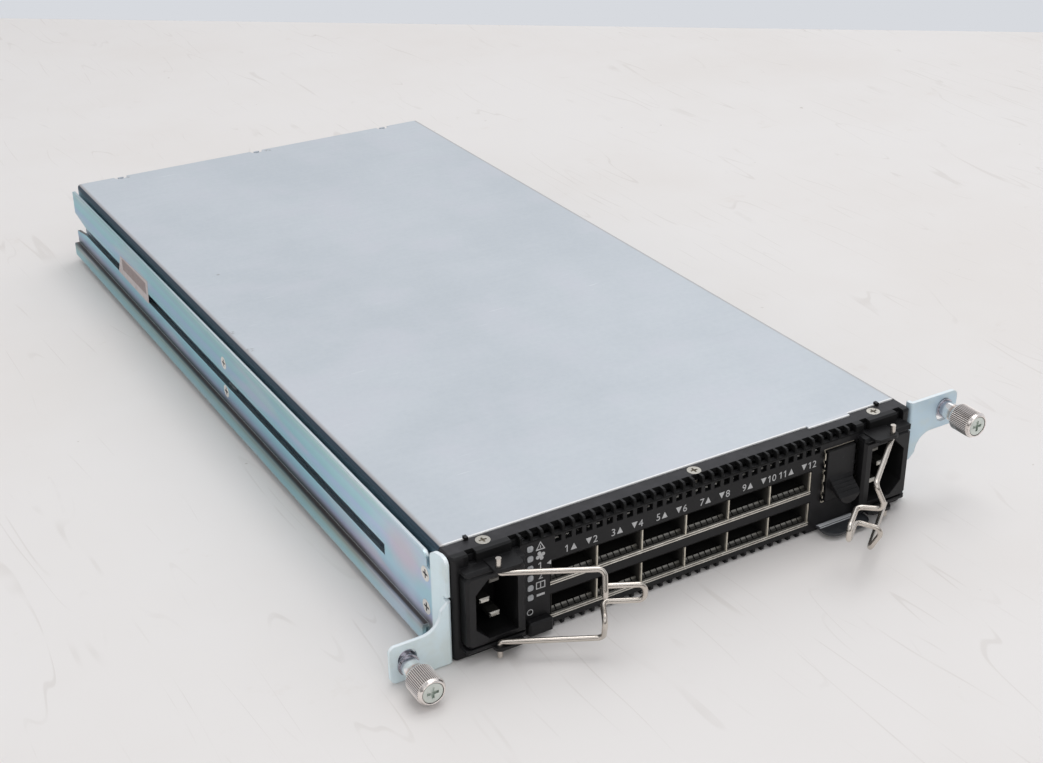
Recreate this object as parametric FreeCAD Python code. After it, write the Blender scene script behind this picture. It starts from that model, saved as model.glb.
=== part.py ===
import FreeCAD, Part
import math
import os

V = FreeCAD.Vector

# Body: X across the front, Y from front to back, Z up, resting on Z = 0.
body_width = 200.0
body_depth = 411.0
body_height = 41.8
sheet = 1.0
fit = 0.1
reach = 1.0
front = -body_depth / 2
rear = body_depth / 2

# Chassis sheets.
tray_half = body_width / 2 - sheet - fit
tray_wall_top = body_height - sheet - 2 * fit
cover_skirt = 8.0
cover_bend = 1.6
cover_notch_radius = 3.4
cover_notch_x = 77.0
tongue_width = 3.0
rear_lip = 9.0
rear_lip_thick = 0.9

# Bezel: a moulded shell that closes the front of the tray.
bezel_drop = 0.4
bezel_top = body_height - bezel_drop
bezel_flange = 8.7
bezel_wall = 2.0
bezel_skin = 1.4
flange_thick = 1.5
bezel_side = 1.0
bezel_round = 0.7
pillar_round = 2.0
cover_front = front + bezel_flange + 2 * fit
hook_x = 90.0
hook_width = 1.3
hook_reach = 0.8
hook_height = 0.9
strip_left = 56.0
strip_right = 76.0
strip_depth = 1.5

# Vents in the bezel.
vent_pitch = 4.2
vent_width = 3.2
vent_depth = 3.0
top_vent_count = 17
top_vent_sill = 38.5
tall_vent_left = -83.8
tall_vent_right = 86.4
tall_vent_offset = 8.3
tall_vent_sill = 37.3
hole_size = 2.6
hole_z = 36.2
hole_first = -14
hole_last = 13
foot_vent_top = 2.2
foot_vent_last = 12

# Metal panel behind the bezel.
panel_front = front + bezel_wall + 2 * fit
panel_half = tray_half - sheet - fit
panel_foot = bezel_skin + 2 * fit
panel_lip_top = bezel_top - flange_thick - 2 * fit
panel_lip_depth = 12.0
panel_vent_half = 73.0
panel_vent_sill = 34.7

# Bezel screws.
bezel_screw_left = -85.0
bezel_screw_middle = 1.8
bezel_screw_right = 86.0
bezel_screw_y = front + 5.6
flat_head_radius = 2.65
flat_head_depth = 1.5
flat_shank_radius = 1.5
bezel_screw_length = 6.0
recess_long = 2.9
recess_wide = 0.8
recess_depth = 1.0

# Ports: two rows of six.
port_count = 6
port_pitch = 19.0
port_left = -61.7
port_height = 8.5
lower_port_floor = 5.5
row_pitch = 13.7
upper_port_floor = lower_port_floor + row_pitch
divider = 0.6
cage_sheet = 0.3
cage_front = front + 2 * fit
cage_depth = 60.0
skirt_setback = 14.0
window_gap = 0.2
port_right = port_left + port_count * port_pitch

# Spring fingers in the mouth of each port.
lip_drop = 1.1
lip_depth = 1.5
finger_count = 7
finger_pitch = 2.6
finger_width = 2.1
finger_rise = 1.2
finger_crown = 2.9
finger_length = 5.2
finger_sheet = 0.22

# Edge connectors at the back of the cages.
connector_width = 16.0
connector_height = 6.2
connector_depth = 11.0
connector_slot_width = 13.2
connector_slot_height = 1.4
connector_slot_depth = 7.0
connector_slot_sill = 2.6

# Power inlets, standing upright, with the bevels on the outer side.
inlet_x = 85.67
inlet_z = 20.9
inlet_half_width = 11.5
inlet_half_height = 14.5
inlet_corner = 1.6
inlet_bevel = 5.0
inlet_proud = 4.7
inlet_back = 24.0
inlet_round = 1.0
cavity_half_width = 8.1
cavity_half_height = 12.0
cavity_depth = 17.0
inlet_gap = 0.12
brow_foot = 4.3
brow_top = 37.0
blade_long = 4.0
blade_thick = 2.0
blade_spread = 7.0
blade_offset = 2.0
blade_recess = 5.0
earth_lead = 0.15
blade_tip = 0.5
blade_tail = 7.0

# Wire clips over the plugs, about their upright pivots.
clip_wire = 1.0
clip_pivot_y = front - 6.04
clip_z = 21.0
clip_arm = 35.1
clip_half_height = 13.94
clip_dip = -4.66
clip_dip_height = 4.36
clip_grip_side = 5.77
clip_grip_half = 3.15
clip_grip_length = 14.5
clip_tip = 19.9
clip_pivot_bend = 1.1
clip_bend = 2.4
left_clip_angle = -27.33
right_clip_angle = -141.65
lug_inner = 9.0
lug_corner = 1.5
lug_eye = 2.2
lug_thick = 1.25
lug_gap = 0.16
pivot_clearance = 0.07

# Status windows and reset button.
light_x = -70.0
light_width = 2.3
light_height = 2.3
light_corner = 0.75
light_count = 6
light_top_z = 35.5
light_pitch = 3.96
light_back = 7.0
reset_x = -70.2
reset_z = 9.7
reset_radius = 0.62
reset_clearance = 0.08
reset_recess = 0.5
reset_length = 6.4
reset_ring = 0.85
reset_ring_depth = 0.3
switch_half = 3.0
switch_front = front + 5.5
switch_depth = 20.0
switch_foot_depth = 3.6
switch_foot_z = 7.8
switch_bore_depth = 3.2

# Stacked management jack with its cap.
jack_left = 58.2
jack_right = 73.2
jack_foot = 12.3
jack_top = 35.4
jack_depth = 26.0
jack_sheet = 0.4
jack_recess = 0.7
jack_mouth_half = 5.9
jack_mouth_height = 8.0
jack_mouth_depth = 14.0
jack_lower_mouth = 13.9
jack_upper_mouth = 24.2
spring_count = 5
spring_pitch = 4.6
spring_height = 2.8
spring_reach = 1.5
spring_lean = 0.7
cap_side_gap = 1.0
cap_foot = 13.2
cap_top = 34.6
cap_face = 1.2
cap_plug_gap = 0.5
cap_plug_depth = 8.0
grip_side_gap = 1.4
grip_reach = 7.6
grip_root = 22.4
grip_tip_top = 17.2
grip_tip_foot = 14.0
grip_under = 18.6
grip_ridges = 5
grip_ridge = 0.6

# Service port with its cap.
service_x = -67.2
service_z = 4.6
service_half_width = 4.6
service_half_height = 1.8
service_sheet = 0.3
service_depth = 9.0
service_cap_half_width = 4.9
service_cap_foot = 1.2
service_cap_top = 6.8
service_cap_proud = 3.0
service_plug_depth = 5.0

# Pull-out label tab and its guide.
tab_left = 56.7
tab_right = 77.7
tab_foot = 1.75
tab_thick = 1.15
tab_proud = 9.2
tab_inside = 62.0
tab_corner = 4.6
tab_ridge = 0.35
tab_ridge_depth = 1.2
guide_front = front + bezel_flange + 0.6
guide_depth = 56.0
guide_wall = 0.6
guide_foot = sheet + 0.05
guide_top = 3.4

# Main board and what stands on it.
board_top = lower_port_floor - cage_sheet - fit
board_thick = 1.6
board_half = 74.0
board_front = front + 12.0
board_depth = 226.0
service_notch_depth = 10.0
standoff_radius = 2.6
standoff_x = 66.0
standoff_rows = 3
standoff_first = 84.0
standoff_pitch = 68.0
chip_half = 22.5
chip_thick = 3.0
chip_y = front + 140.0
sink_half_width = 40.0
sink_half_depth = 46.0
sink_base = 4.0
sink_top = 36.0
sink_fins = 13
sink_fin = 1.2

# Power supplies beside the board.
supply_inner = 76.5
supply_outer = 97.0
supply_front = front + 70.0
supply_depth = 170.0
supply_foot = sheet + 0.05
supply_top = 38.4
supply_bevel = 1.5
lead_radius = 1.3
socket_half_depth = 9.0
socket_height = 10.0
socket_width = 6.0
socket_y = front + 200.0

# Fans in a row against the rear panel.
fan_count = 4
fan_pitch = 47.5
fan_half = 19.0
fan_depth = 28.0
fan_z = 20.6
fan_bore = 18.0
fan_corner = 3.0
fan_back = rear - 1.6
hub_radius = 8.5
hub_cap = 3.0
strut_half = 1.0
strut_count = 3
pin_radius = 1.5
pin_length = 14.0
rotor_gap = 1.0
rotor_length = 20.0
rotor_bore_clearance = 0.08
blade_count = 7
fan_blade_tip = 16.4
fan_blade_chord = 13.0
fan_blade_thick = 1.0
fan_blade_turn = 42.0

# Rear grille.
cell_pitch = 7.4
cell_radius = 3.7
cell_rings = 2

# Side rails, given for the left side.
rail_sheet = 1.5
rail_outer = -103.0
rail_inner = rail_outer + rail_sheet
rail_top = 38.2
rail_ledge = 9.9
rail_step = 2.4
rail_foot = 3.3
rail_rear = rear + 1.0
ledge_front = front + 12.6
ledge_round = 0.5
tab_outer = -101.8
tab_inner = tab_outer + rail_sheet
joggle_start = front + 5.0
joggle_end = front + 9.0
joggle_lead = 0.4
plate_front = front + 16.0
front_tab_foot = 0.6
front_tab_top = 41.2
high_tab_top = 38.6
tab_corner_round = 2.6
plate_corner_round = 3.2
slit_start = front + 9.8
slit_width = 2.4
slit_sill = 33.0
track_foot = 19.2
track_height = 4.5
track_front = front + 45.0
track_flare = 5.0
track_flare_depth = 17.0

# Ears folded outward from the rails, given for the low one.
ear_outer = -124.0
ear_foot = 0.4
high_ear_rise = 1.5
ear_top = 14.9
ear_corner = 2.4
ear_sweep = 7.6
ear_neck = 2.6
ear_neck_rise = 2.6
ear_bend = 2.2
relief_height = 1.3
relief_depth = 3.0
ear_slot_width = 7.0
ear_slot_foot = 2.6
ear_slot_top = 12.4

# Rail screws and spacers.
rail_screw_front = front + 13.6
rail_screw_rear = front + 198.0
rail_screw_low = 16.0
rail_screw_high = 29.5
rail_screw_length = 3.6
rail_head_radius = 2.8
rail_head_depth = 1.3
rail_shank_radius = 1.4
spacer_radius = 3.2

# Captive thumbscrews.
thumb_x = 117.5
left_thumb_z = 6.6
right_thumb_z = body_height + high_ear_rise - left_thumb_z
collar_radius = 3.4
collar_length = 7.0
collar_shoulder = 3.9
collar_shoulder_length = 0.6
collar_flange = 4.3
collar_flange_length = 0.9
stem_radius = 2.1
stem_clearance = 0.08
stem_thread_radius = 2.5
stem_end = front + 5.4
stem_tip_bevel = 0.8
knob_radius = 5.3
knob_length = 10.9
knob_gap = 0.2
knob_teeth = 28
knob_groove = 0.35
knob_rim = 1.1
knob_recess_radius = 3.95
knob_recess_depth = 1.8
stem_head_radius = 3.7
stem_head_height = 1.6
stem_recess_long = 4.3
stem_recess_wide = 1.1
stem_recess_depth = 1.1


def box(x0, x1, y0, y1, z0, z1):
    return Part.makeBox(x1 - x0, y1 - y0, z1 - z0, V(x0, y0, z0))


def rod(radius, start, end):
    axis = end.sub(start)
    return Part.makeCylinder(radius, axis.Length, start, axis)


def cone(radius_start, radius_end, start, end):
    axis = end.sub(start)
    return Part.makeCone(radius_start, radius_end, axis.Length, start, axis)


def prism(points, sweep):
    outline = Part.makePolygon(points + points[:1])
    return Part.Face(outline).extrude(sweep)


def mirrored(shape):
    return shape.mirror(V(0, 0, 0), V(1, 0, 0))


def edges_where(shape, test):
    return [edge for edge in shape.Edges if test(edge)]


def straight_along(edge, direction):
    start = edge.Vertexes[0].Point
    end = edge.Vertexes[-1].Point
    run = end.sub(start)
    return run.Length > fit and run.cross(direction).Length < fit * run.Length


def cross_recess(centre, out, across, long, wide, depth):
    """A cross-shaped driver recess sunk into a head, as two crossed slots."""
    up = out.cross(across)
    slots = []
    for first, second in ((across, up), (up, across)):
        corner = centre - first * (long / 2) - second * (wide / 2)
        base = [
            corner,
            corner + first * long,
            corner + first * long + second * wide,
            corner + second * wide,
        ]
        slots.append(prism(base, out * -depth))
    return slots[0].fuse(slots[1])


def flat_screw(head, out, head_radius, head_depth, shank_radius, length):
    """A countersunk screw whose head's flat face lies at the point head, facing out."""
    neck = head - out * head_depth
    screw = cone(head_radius, shank_radius, head, neck)
    return screw.fuse(rod(shank_radius, neck, head - out * length)).removeSplitter()


def flat_screw_hole(head, out, head_radius, head_depth, shank_radius, length):
    """The countersunk hole that such a screw sits in."""
    neck = head - out * head_depth
    sink = cone(head_radius + fit, shank_radius + fit, head, neck)
    return sink.fuse(rod(shank_radius + fit, neck, head - out * length))


def rail_screw_places(side):
    """Points on a rail's outer face where its screws sit."""
    return [
        V(side * -rail_outer, y, z)
        for y in (rail_screw_front, rail_screw_rear)
        for z in (rail_screw_low, rail_screw_high)
    ]


def port_edges(index):
    """Left and right inner faces of one port."""
    left = port_left + index * port_pitch + divider / 2
    return left, left + port_pitch - divider


def base_tray():
    inside = tray_half - sheet
    tray_front = panel_front + sheet + fit
    tray = box(-tray_half, tray_half, tray_front, rear - fit, 0, tray_wall_top)
    tray = tray.cut(box(-inside, inside, tray_front - reach, rear + reach, sheet, body_height))
    under_bezel = box(-tray_half - reach, tray_half + reach, tray_front - reach, cover_front,
                      -reach, panel_foot)
    under_flange = box(-tray_half - reach, tray_half + reach, tray_front - reach, cover_front,
                       bezel_top - flange_thick - fit, body_height)
    return tray.cut([under_bezel, under_flange])


def top_cover():
    half = body_width / 2
    cover = box(-half, half, cover_front, rear, body_height - cover_skirt, body_height)
    lengthwise = edges_where(cover, lambda e: straight_along(e, V(0, 1, 0)))
    folds = [edge for edge in lengthwise if edge.CenterOfMass.z > body_height - fit]
    cover = cover.makeFillet(cover_bend, folds)
    inner = half - sheet
    hollow = box(-inner, inner, cover_front - reach, rear + reach, 0, body_height - sheet)
    notches = [
        rod(cover_notch_radius, V(x, rear, 0), V(x, rear, body_height + reach))
        for x in (-cover_notch_x, 0, cover_notch_x)
    ]
    tongue = box(strip_left + fit, strip_right - fit, cover_front - strip_depth, cover_front + reach,
                 body_height - sheet, body_height)
    return cover.cut([hollow] + notches).fuse(tongue).removeSplitter()


def grille_cells():
    """Honeycomb openings, one field of rings around each fan's centre."""
    cells = []
    for fan in range(fan_count):
        for row in range(-cell_rings, cell_rings + 1):
            columns = 2 * cell_rings + 1 - abs(row)
            for column in range(columns):
                x = fan_x(fan) + (column - (columns - 1) / 2) * cell_pitch
                z = fan_z + row * cell_pitch * math.sqrt(3) / 2
                corners = hexagon(V(x, rear - 2 * reach, z), cell_radius, V(1, 0, 0), V(0, 0, 1))
                cells.append(prism(corners, V(0, 3 * reach, 0)))
    return cells


def rear_panel():
    panel_back = rear - 2 * fit
    plate = box(-panel_half, panel_half, panel_back - sheet, panel_back, sheet + fit, tray_wall_top)
    lip = box(-panel_half, panel_half, panel_back - rear_lip, panel_back, tray_wall_top - rear_lip_thick,
              tray_wall_top)
    tongues = [
        box(x - tongue_width / 2, x + tongue_width / 2, panel_back - sheet, panel_back,
            tray_wall_top - reach, body_height - fit)
        for x in (-cover_notch_x, 0, cover_notch_x)
    ]
    return plate.fuse([lip] + tongues).cut(grille_cells()).removeSplitter()


def inlet_outline(side, half_width, half_height, bevel, y):
    x = side * inlet_x
    outer = x + side * half_width
    shoulder = x + side * (half_width - bevel)
    inner = x - side * half_width
    return [
        V(inner, y, inlet_z - half_height),
        V(shoulder, y, inlet_z - half_height),
        V(outer, y, inlet_z - half_height + bevel),
        V(outer, y, inlet_z + half_height - bevel),
        V(shoulder, y, inlet_z + half_height),
        V(inner, y, inlet_z + half_height),
    ]


def inlet_windows(y, depth):
    width = inlet_half_width + inlet_gap
    height = inlet_half_height + inlet_gap
    return [prism(inlet_outline(side, width, height, inlet_corner, y), V(0, depth, 0)) for side in (-1, 1)]


def inlet_brows():
    """Raised strips above and below each inlet that square its frame, level with its face."""
    upper = inlet_z + inlet_half_height + inlet_gap
    lower = inlet_z - inlet_half_height - inlet_gap
    face = front - inlet_proud
    brows = []
    for side in (-1, 1):
        x = side * inlet_x
        for foot, top, seam in ((brow_foot, lower, lower), (upper, brow_top, upper)):
            brow = box(x - inlet_half_width, x + inlet_half_width, face, front + reach, foot, top)
            ring = edges_where(brow, lambda e: abs(e.CenterOfMass.y - face) < fit)
            rim = [edge for edge in ring if abs(edge.CenterOfMass.z - seam) > fit]
            brows.append(brow.makeChamfer(inlet_round, rim))
    return brows


def front_windows(y, depth, gap):
    """Openings that pass through both the bezel and the metal panel behind it."""
    cuts = inlet_windows(y, depth)
    for floor in (lower_port_floor, upper_port_floor):
        left = port_left - divider / 2 - gap
        right = port_right + divider / 2 + gap
        foot = floor - lip_drop - gap
        cuts.append(box(left, right, y, y + depth, foot, floor + port_height + cage_sheet + gap))
    cuts.append(box(jack_left - gap, jack_right + gap, y, y + depth, jack_foot - gap, jack_top + gap))
    cuts.append(box(service_x - service_half_width - gap, service_x + service_half_width + gap, y,
                    y + depth,
                    service_z - service_half_height - gap, service_z + service_half_height + gap))
    cuts.append(box(tab_left - gap, tab_right + gap, y, y + depth, tab_foot - gap,
                    tab_foot + tab_thick + gap))
    cuts.append(rod(reset_radius + reset_clearance, V(reset_x, y, reset_z),
                    V(reset_x, y + depth, reset_z)))
    cuts.extend(light_blocks(y, y + depth, fit))
    return cuts


def light_blocks(y0, y1, grow):
    """Square blocks with rounded corners, one for each status light."""
    blocks = []
    for index in range(light_count):
        z = light_top_z - index * light_pitch
        block = box(light_x - light_width / 2 - grow, light_x + light_width / 2 + grow, y0, y1,
                    z - light_height / 2 - grow, z + light_height / 2 + grow)
        corners = edges_where(block, lambda e: straight_along(e, V(0, 1, 0)))
        blocks.append(block.makeFillet(light_corner + grow, corners))
    return blocks


def bezel_vents():
    cuts = []
    half = vent_width / 2
    y0 = front - reach
    y1 = front + vent_depth
    for step in range(-top_vent_count, top_vent_count + 1):
        x = step * vent_pitch
        cuts.append(box(x - half, x + half, y0, y1, top_vent_sill, body_height + reach))
    for middle in (tall_vent_left, tall_vent_right):
        for offset in (-tall_vent_offset, tall_vent_offset):
            x = middle + offset
            cuts.append(box(x - half, x + half, y0, y1, tall_vent_sill, body_height + reach))
    for step in range(hole_first, hole_last + 1):
        x = step * vent_pitch
        cuts.append(box(x - hole_size / 2, x + hole_size / 2, y0, y1,
                        hole_z - hole_size / 2, hole_z + hole_size / 2))
    for step in range(hole_first, foot_vent_last + 1):
        x = step * vent_pitch
        cuts.append(box(x - half, x + half, y0, y1, -reach, foot_vent_top))
    return cuts


def clip_lugs():
    """Shelves above and below each inlet that carry the wire clip's pins."""
    gap = clip_pivot_bend + lug_gap
    upper = clip_z + clip_half_height + gap
    lower = clip_z - clip_half_height - gap - lug_thick
    lugs = []
    for side in (-1, 1):
        x = side * inlet_x
        outer = x + side * lug_eye
        inner = x - side * lug_inner
        tip = clip_pivot_y - lug_eye
        for foot in (lower, upper):
            flanks = [
                V(outer, front + reach, foot),
                V(outer, clip_pivot_y, foot),
                V(x, tip, foot),
                V(inner + side * lug_corner, tip, foot),
                V(inner, tip + lug_corner, foot),
                V(inner, front + reach, foot),
            ]
            pivot_foot = V(x, clip_pivot_y, foot)
            rise = V(0, 0, lug_thick)
            eye = rod(lug_eye, pivot_foot, pivot_foot + rise)
            pin_hole = rod(clip_wire + pivot_clearance, pivot_foot - rise, pivot_foot + 2 * rise)
            lugs.append(prism(flanks, rise).fuse(eye).cut(pin_hole))
    return lugs


def bezel_hooks():
    """Small hooks on the flange's back edge that hold down the cover."""
    hooks = []
    for x in (-hook_x, hook_x):
        back = front + bezel_flange
        foot = body_height + fit / 2
        riser = box(x - hook_width / 2, x + hook_width / 2, back - reach, back, bezel_top - fit,
                    foot + hook_height)
        hooks.append(riser)
        hooks.append(box(x - hook_width / 2, x + hook_width / 2, back - reach, back + hook_reach,
                         foot, foot + hook_height))
    return hooks


def bezel_screw_places():
    across = (bezel_screw_left, bezel_screw_middle, bezel_screw_right)
    return [V(x, bezel_screw_y, bezel_top) for x in across]


def front_bezel():
    half = body_width / 2
    back = front + bezel_flange
    shell = box(-half, half, front, back, 0, bezel_top)
    upright = edges_where(shell, lambda e: straight_along(e, V(0, 0, 1)))
    pillars = [edge for edge in upright if abs(edge.CenterOfMass.y - front) < fit]
    shell = shell.makeFillet(pillar_round, pillars)
    level = edges_where(shell, lambda e: straight_along(e, V(1, 0, 0)))
    outer = [edge for edge in level if abs(edge.CenterOfMass.y - front) < fit]
    shell = shell.makeChamfer(bezel_round, outer)
    hollow = box(-half + bezel_side, half - bezel_side, front + bezel_wall, back + reach,
                 bezel_skin, bezel_top - flange_thick)
    strip = box(strip_left, strip_right, back - strip_depth, back + reach,
                bezel_top - flange_thick - fit, body_height)
    ring = rod(reset_ring, V(reset_x, front - reach, reset_z),
               V(reset_x, front + reset_ring_depth, reset_z))
    sinks = [
        flat_screw_hole(p, V(0, 0, 1), flat_head_radius, flat_head_depth, flat_shank_radius,
                        bezel_screw_length)
        for p in bezel_screw_places()
    ]
    cuts = front_windows(front - reach, bezel_wall + 2 * reach, window_gap)
    shell = shell.cut([hollow, strip, ring] + sinks + cuts + bezel_vents())
    return shell.fuse(inlet_brows() + clip_lugs() + bezel_hooks()).removeSplitter()


def front_panel():
    plate = box(-panel_half, panel_half, panel_front, panel_front + sheet, panel_foot, panel_lip_top)
    lip = box(-panel_half, panel_half, panel_front, panel_front + panel_lip_depth,
              panel_lip_top - sheet, panel_lip_top)
    vent = box(-panel_vent_half, panel_vent_half, panel_front - reach, panel_front + sheet,
               panel_vent_sill, body_height)
    holes = [rod(flat_shank_radius + fit, p, p - V(0, 0, 3 * reach)) for p in bezel_screw_places()]
    cuts = front_windows(panel_front - reach, 3 * reach, 2 * window_gap)
    return plate.fuse(lip).cut([vent] + holes + cuts).removeSplitter()


def bezel_screws():
    return Part.makeCompound([
        flat_screw(p, V(0, 0, 1), flat_head_radius, flat_head_depth, flat_shank_radius,
                   bezel_screw_length)
        .cut(cross_recess(p, V(0, 0, 1), V(1, 0, 0), recess_long, recess_wide, recess_depth))
        for p in bezel_screw_places()
    ])


def inlet(side):
    face = front - inlet_proud
    length = inlet_proud + inlet_back
    block = prism(inlet_outline(side, inlet_half_width, inlet_half_height, inlet_corner, face),
                  V(0, length, 0))
    rim = edges_where(block, lambda e: abs(e.CenterOfMass.y - face) < fit)
    block = block.makeChamfer(inlet_round, rim)
    cavity = inlet_outline(side, cavity_half_width, cavity_half_height, inlet_bevel, face - reach)
    block = block.cut(prism(cavity, V(0, cavity_depth + reach, 0)))
    holes = [
        box(x0 - fit / 2, x1 + fit / 2, y0, y1 + reach, z0 - fit / 2, z1 + fit / 2)
        for x0, x1, y0, y1, z0, z1 in blade_boxes(side)
    ]
    return block.cut(holes)


def blade_boxes(side):
    """Extents of the two line blades on the inner side and the earth blade on the outer."""
    tip = front - inlet_proud + blade_recess
    y1 = front + inlet_back + blade_tail
    boxes = []
    for spread, offset, lead in ((-blade_spread, -blade_offset, 0), (0, blade_offset, earth_lead),
                                 (blade_spread, -blade_offset, 0)):
        x = side * (inlet_x + offset)
        z = inlet_z + spread
        boxes.append((x - blade_long / 2, x + blade_long / 2, tip - lead, y1, z - blade_thick / 2,
                      z + blade_thick / 2))
    return boxes


def inlet_pins(side):
    """Three blades with bevelled tips, the earth blade leading."""
    blades = []
    for extents in blade_boxes(side):
        tip = extents[2]
        blade = box(*extents)
        ends = [edge for edge in blade.Edges if abs(edge.CenterOfMass.y - tip) < fit]
        blades.append(blade.makeChamfer(blade_tip, ends))
    return Part.makeCompound(blades)


def inlet_leads(side):
    """Short wires from the blades' tails to the power supply."""
    leads = []
    for x0, x1, y0, y1, z0, z1 in blade_boxes(side):
        x = (x0 + x1) / 2
        z = (z0 + z1) / 2
        leads.append(rod(lead_radius, V(x, y1, z), V(x, supply_front, z)))
    return Part.makeCompound(leads)


def port_cage(floor, rest):
    """A row of six cells in thin sheet, with end skirts down to what it rests on."""
    left = port_left - divider / 2
    right = port_right + divider / 2
    back = cage_front + cage_depth
    cage = box(left, right, cage_front, back, floor - cage_sheet, floor + port_height + cage_sheet)
    cells = []
    for index in range(port_count):
        x0, x1 = port_edges(index)
        cells.append(box(x0, x1, cage_front - reach, back - cage_sheet, floor, floor + port_height))
    skirts = [
        box(x, x + cage_sheet, cage_front + skirt_setback, back, rest, floor)
        for x in (left, right - cage_sheet)
    ]
    return cage.cut(cells).fuse(skirts).removeSplitter()


def port_gasket(floor):
    """A lip across the row with bowed spring fingers reaching into each port."""
    y0 = front - fit
    root = front + lip_depth
    strip = box(port_left - divider / 2, port_right + divider / 2, y0, cage_front - fit / 5,
                floor - lip_drop, floor + finger_sheet)
    fingers = []
    for index in range(port_count):
        x0, x1 = port_edges(index)
        fingers.append(box(x0 + fit, x1 - fit, y0, root, floor, floor + finger_sheet))
        first = (x0 + x1 - (finger_count - 1) * finger_pitch - finger_width) / 2
        for step in range(finger_count):
            x = first + step * finger_pitch
            bow = [
                V(x, root - reach, floor),
                V(x, root, floor),
                V(x, front + finger_crown, floor + finger_rise),
                V(x, front + finger_length, floor),
                V(x, front + finger_length, floor + finger_sheet),
                V(x, front + finger_crown, floor + finger_rise + finger_sheet),
                V(x, root, floor + finger_sheet),
                V(x, root - reach, floor + finger_sheet),
            ]
            fingers.append(prism(bow, V(finger_width, 0, 0)))
    return strip.fuse(fingers)


def port_connectors(floor):
    back = cage_front + cage_depth - cage_sheet
    connectors = []
    for index in range(port_count):
        x0, x1 = port_edges(index)
        x = (x0 + x1) / 2
        block = box(x - connector_width / 2, x + connector_width / 2, back - connector_depth, back,
                    floor, floor + connector_height)
        slot = box(x - connector_slot_width / 2, x + connector_slot_width / 2,
                   back - connector_depth - reach, back - connector_depth + connector_slot_depth,
                   floor + connector_slot_sill, floor + connector_slot_sill + connector_slot_height)
        connectors.append(block.cut(slot))
    return Part.makeCompound(connectors)


def light_pipes():
    return Part.makeCompound(light_blocks(front - 2 * fit, front + light_back, 0))


def reset_button():
    y0 = front + reset_recess
    return rod(reset_radius, V(reset_x, y0, reset_z), V(reset_x, y0 + reset_length, reset_z))


def reset_switch():
    """Side-entry switch that reaches over the service port from a foot on the board."""
    back = switch_front + switch_depth
    body = box(reset_x - switch_half, reset_x + switch_half, switch_front, back,
               switch_foot_z, reset_z + switch_half)
    foot = box(reset_x - switch_half, reset_x + switch_half, back - switch_foot_depth, back,
               board_top, reset_z)
    bore = rod(reset_radius + reset_clearance, V(reset_x, switch_front - reach, reset_z),
               V(reset_x, switch_front + switch_bore_depth, reset_z))
    return body.fuse(foot).cut(bore).removeSplitter()


def management_jack_shield():
    y0 = front + 2 * fit
    y1 = y0 + jack_depth
    shell = box(jack_left, jack_right, y0, y1, jack_foot, jack_top)
    hollow = box(jack_left + jack_sheet, jack_right - jack_sheet, y0 - reach, y1 - jack_sheet,
                 jack_foot + jack_sheet, jack_top - jack_sheet)
    springs = []
    first = (jack_foot + jack_top - (spring_count - 1) * spring_pitch - spring_height) / 2
    for edge, lean in ((jack_left, -spring_lean), (jack_right - jack_sheet, spring_lean / 2)):
        for step in range(spring_count):
            z = first + step * spring_pitch
            leaf = [
                V(edge, y0, z),
                V(edge + lean, y0 - spring_reach, z),
                V(edge + lean + jack_sheet, y0 - spring_reach, z),
                V(edge + jack_sheet, y0, z),
            ]
            springs.append(prism(leaf, V(0, 0, spring_height)))
    skirts = [
        box(x, x + jack_sheet, board_front + reach, y1, board_top, jack_foot + jack_sheet)
        for x in (jack_left, jack_right - jack_sheet)
    ]
    return shell.cut(hollow).fuse(springs + skirts).removeSplitter()


def management_jack():
    inset = jack_sheet + fit
    y0 = front + jack_recess
    block = box(jack_left + inset, jack_right - inset, y0, front + jack_depth - inset,
                jack_foot + inset, jack_top - inset)
    x = (jack_left + jack_right) / 2
    mouths = [
        box(x - jack_mouth_half, x + jack_mouth_half, y0 - reach, y0 + jack_mouth_depth, z,
            z + jack_mouth_height)
        for z in (jack_lower_mouth, jack_upper_mouth)
    ]
    return block.cut(mouths)


def management_jack_cap():
    """Twin cap that closes both sockets, with a ridged pull tongue that hangs from its middle."""
    x0 = jack_left + cap_side_gap
    x1 = jack_right - cap_side_gap
    face = front - cap_face
    plate = box(x0, x1, face, front + jack_recess - fit, cap_foot, cap_top)
    x = (jack_left + jack_right) / 2
    half = jack_mouth_half - cap_plug_gap
    plugs = [
        box(x - half, x + half, face + reach, front + cap_plug_depth,
            z + cap_plug_gap, z + jack_mouth_height - cap_plug_gap)
        for z in (jack_lower_mouth, jack_upper_mouth)
    ]
    tip = front - grip_reach
    outline = [V(x0, face + fit, grip_root)]
    for step in range(grip_ridges):
        start = step / grip_ridges
        y = face + (tip - face) * start
        z = grip_root + (grip_tip_top - grip_root) * start
        outline.append(V(x0, y, z + grip_ridge))
        end = (step + 1) / grip_ridges
        outline.append(V(x0, face + (tip - face) * end, grip_root + (grip_tip_top - grip_root) * end))
    outline.append(V(x0, tip, grip_tip_foot))
    outline.append(V(x0, tip + grip_ridge, grip_tip_foot - grip_ridge / 2))
    outline.append(V(x0, (tip + face) / 2, (grip_under + grip_tip_top) / 2))
    outline.append(V(x0, face + fit, grip_under))
    wide = (x1 - x0) / 2 - grip_side_gap
    grip = prism([p + V(grip_side_gap, 0, 0) for p in outline], V(2 * wide, 0, 0))
    middle = grip_tip_foot + wide
    tongue = rod(wide, V(x, tip - reach, middle), V(x, front, middle))
    tongue = tongue.fuse(box(x - wide, x + wide, tip - reach, front, middle, jack_top))
    return plate.fuse(plugs + [grip.common(tongue)]).removeSplitter()


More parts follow.
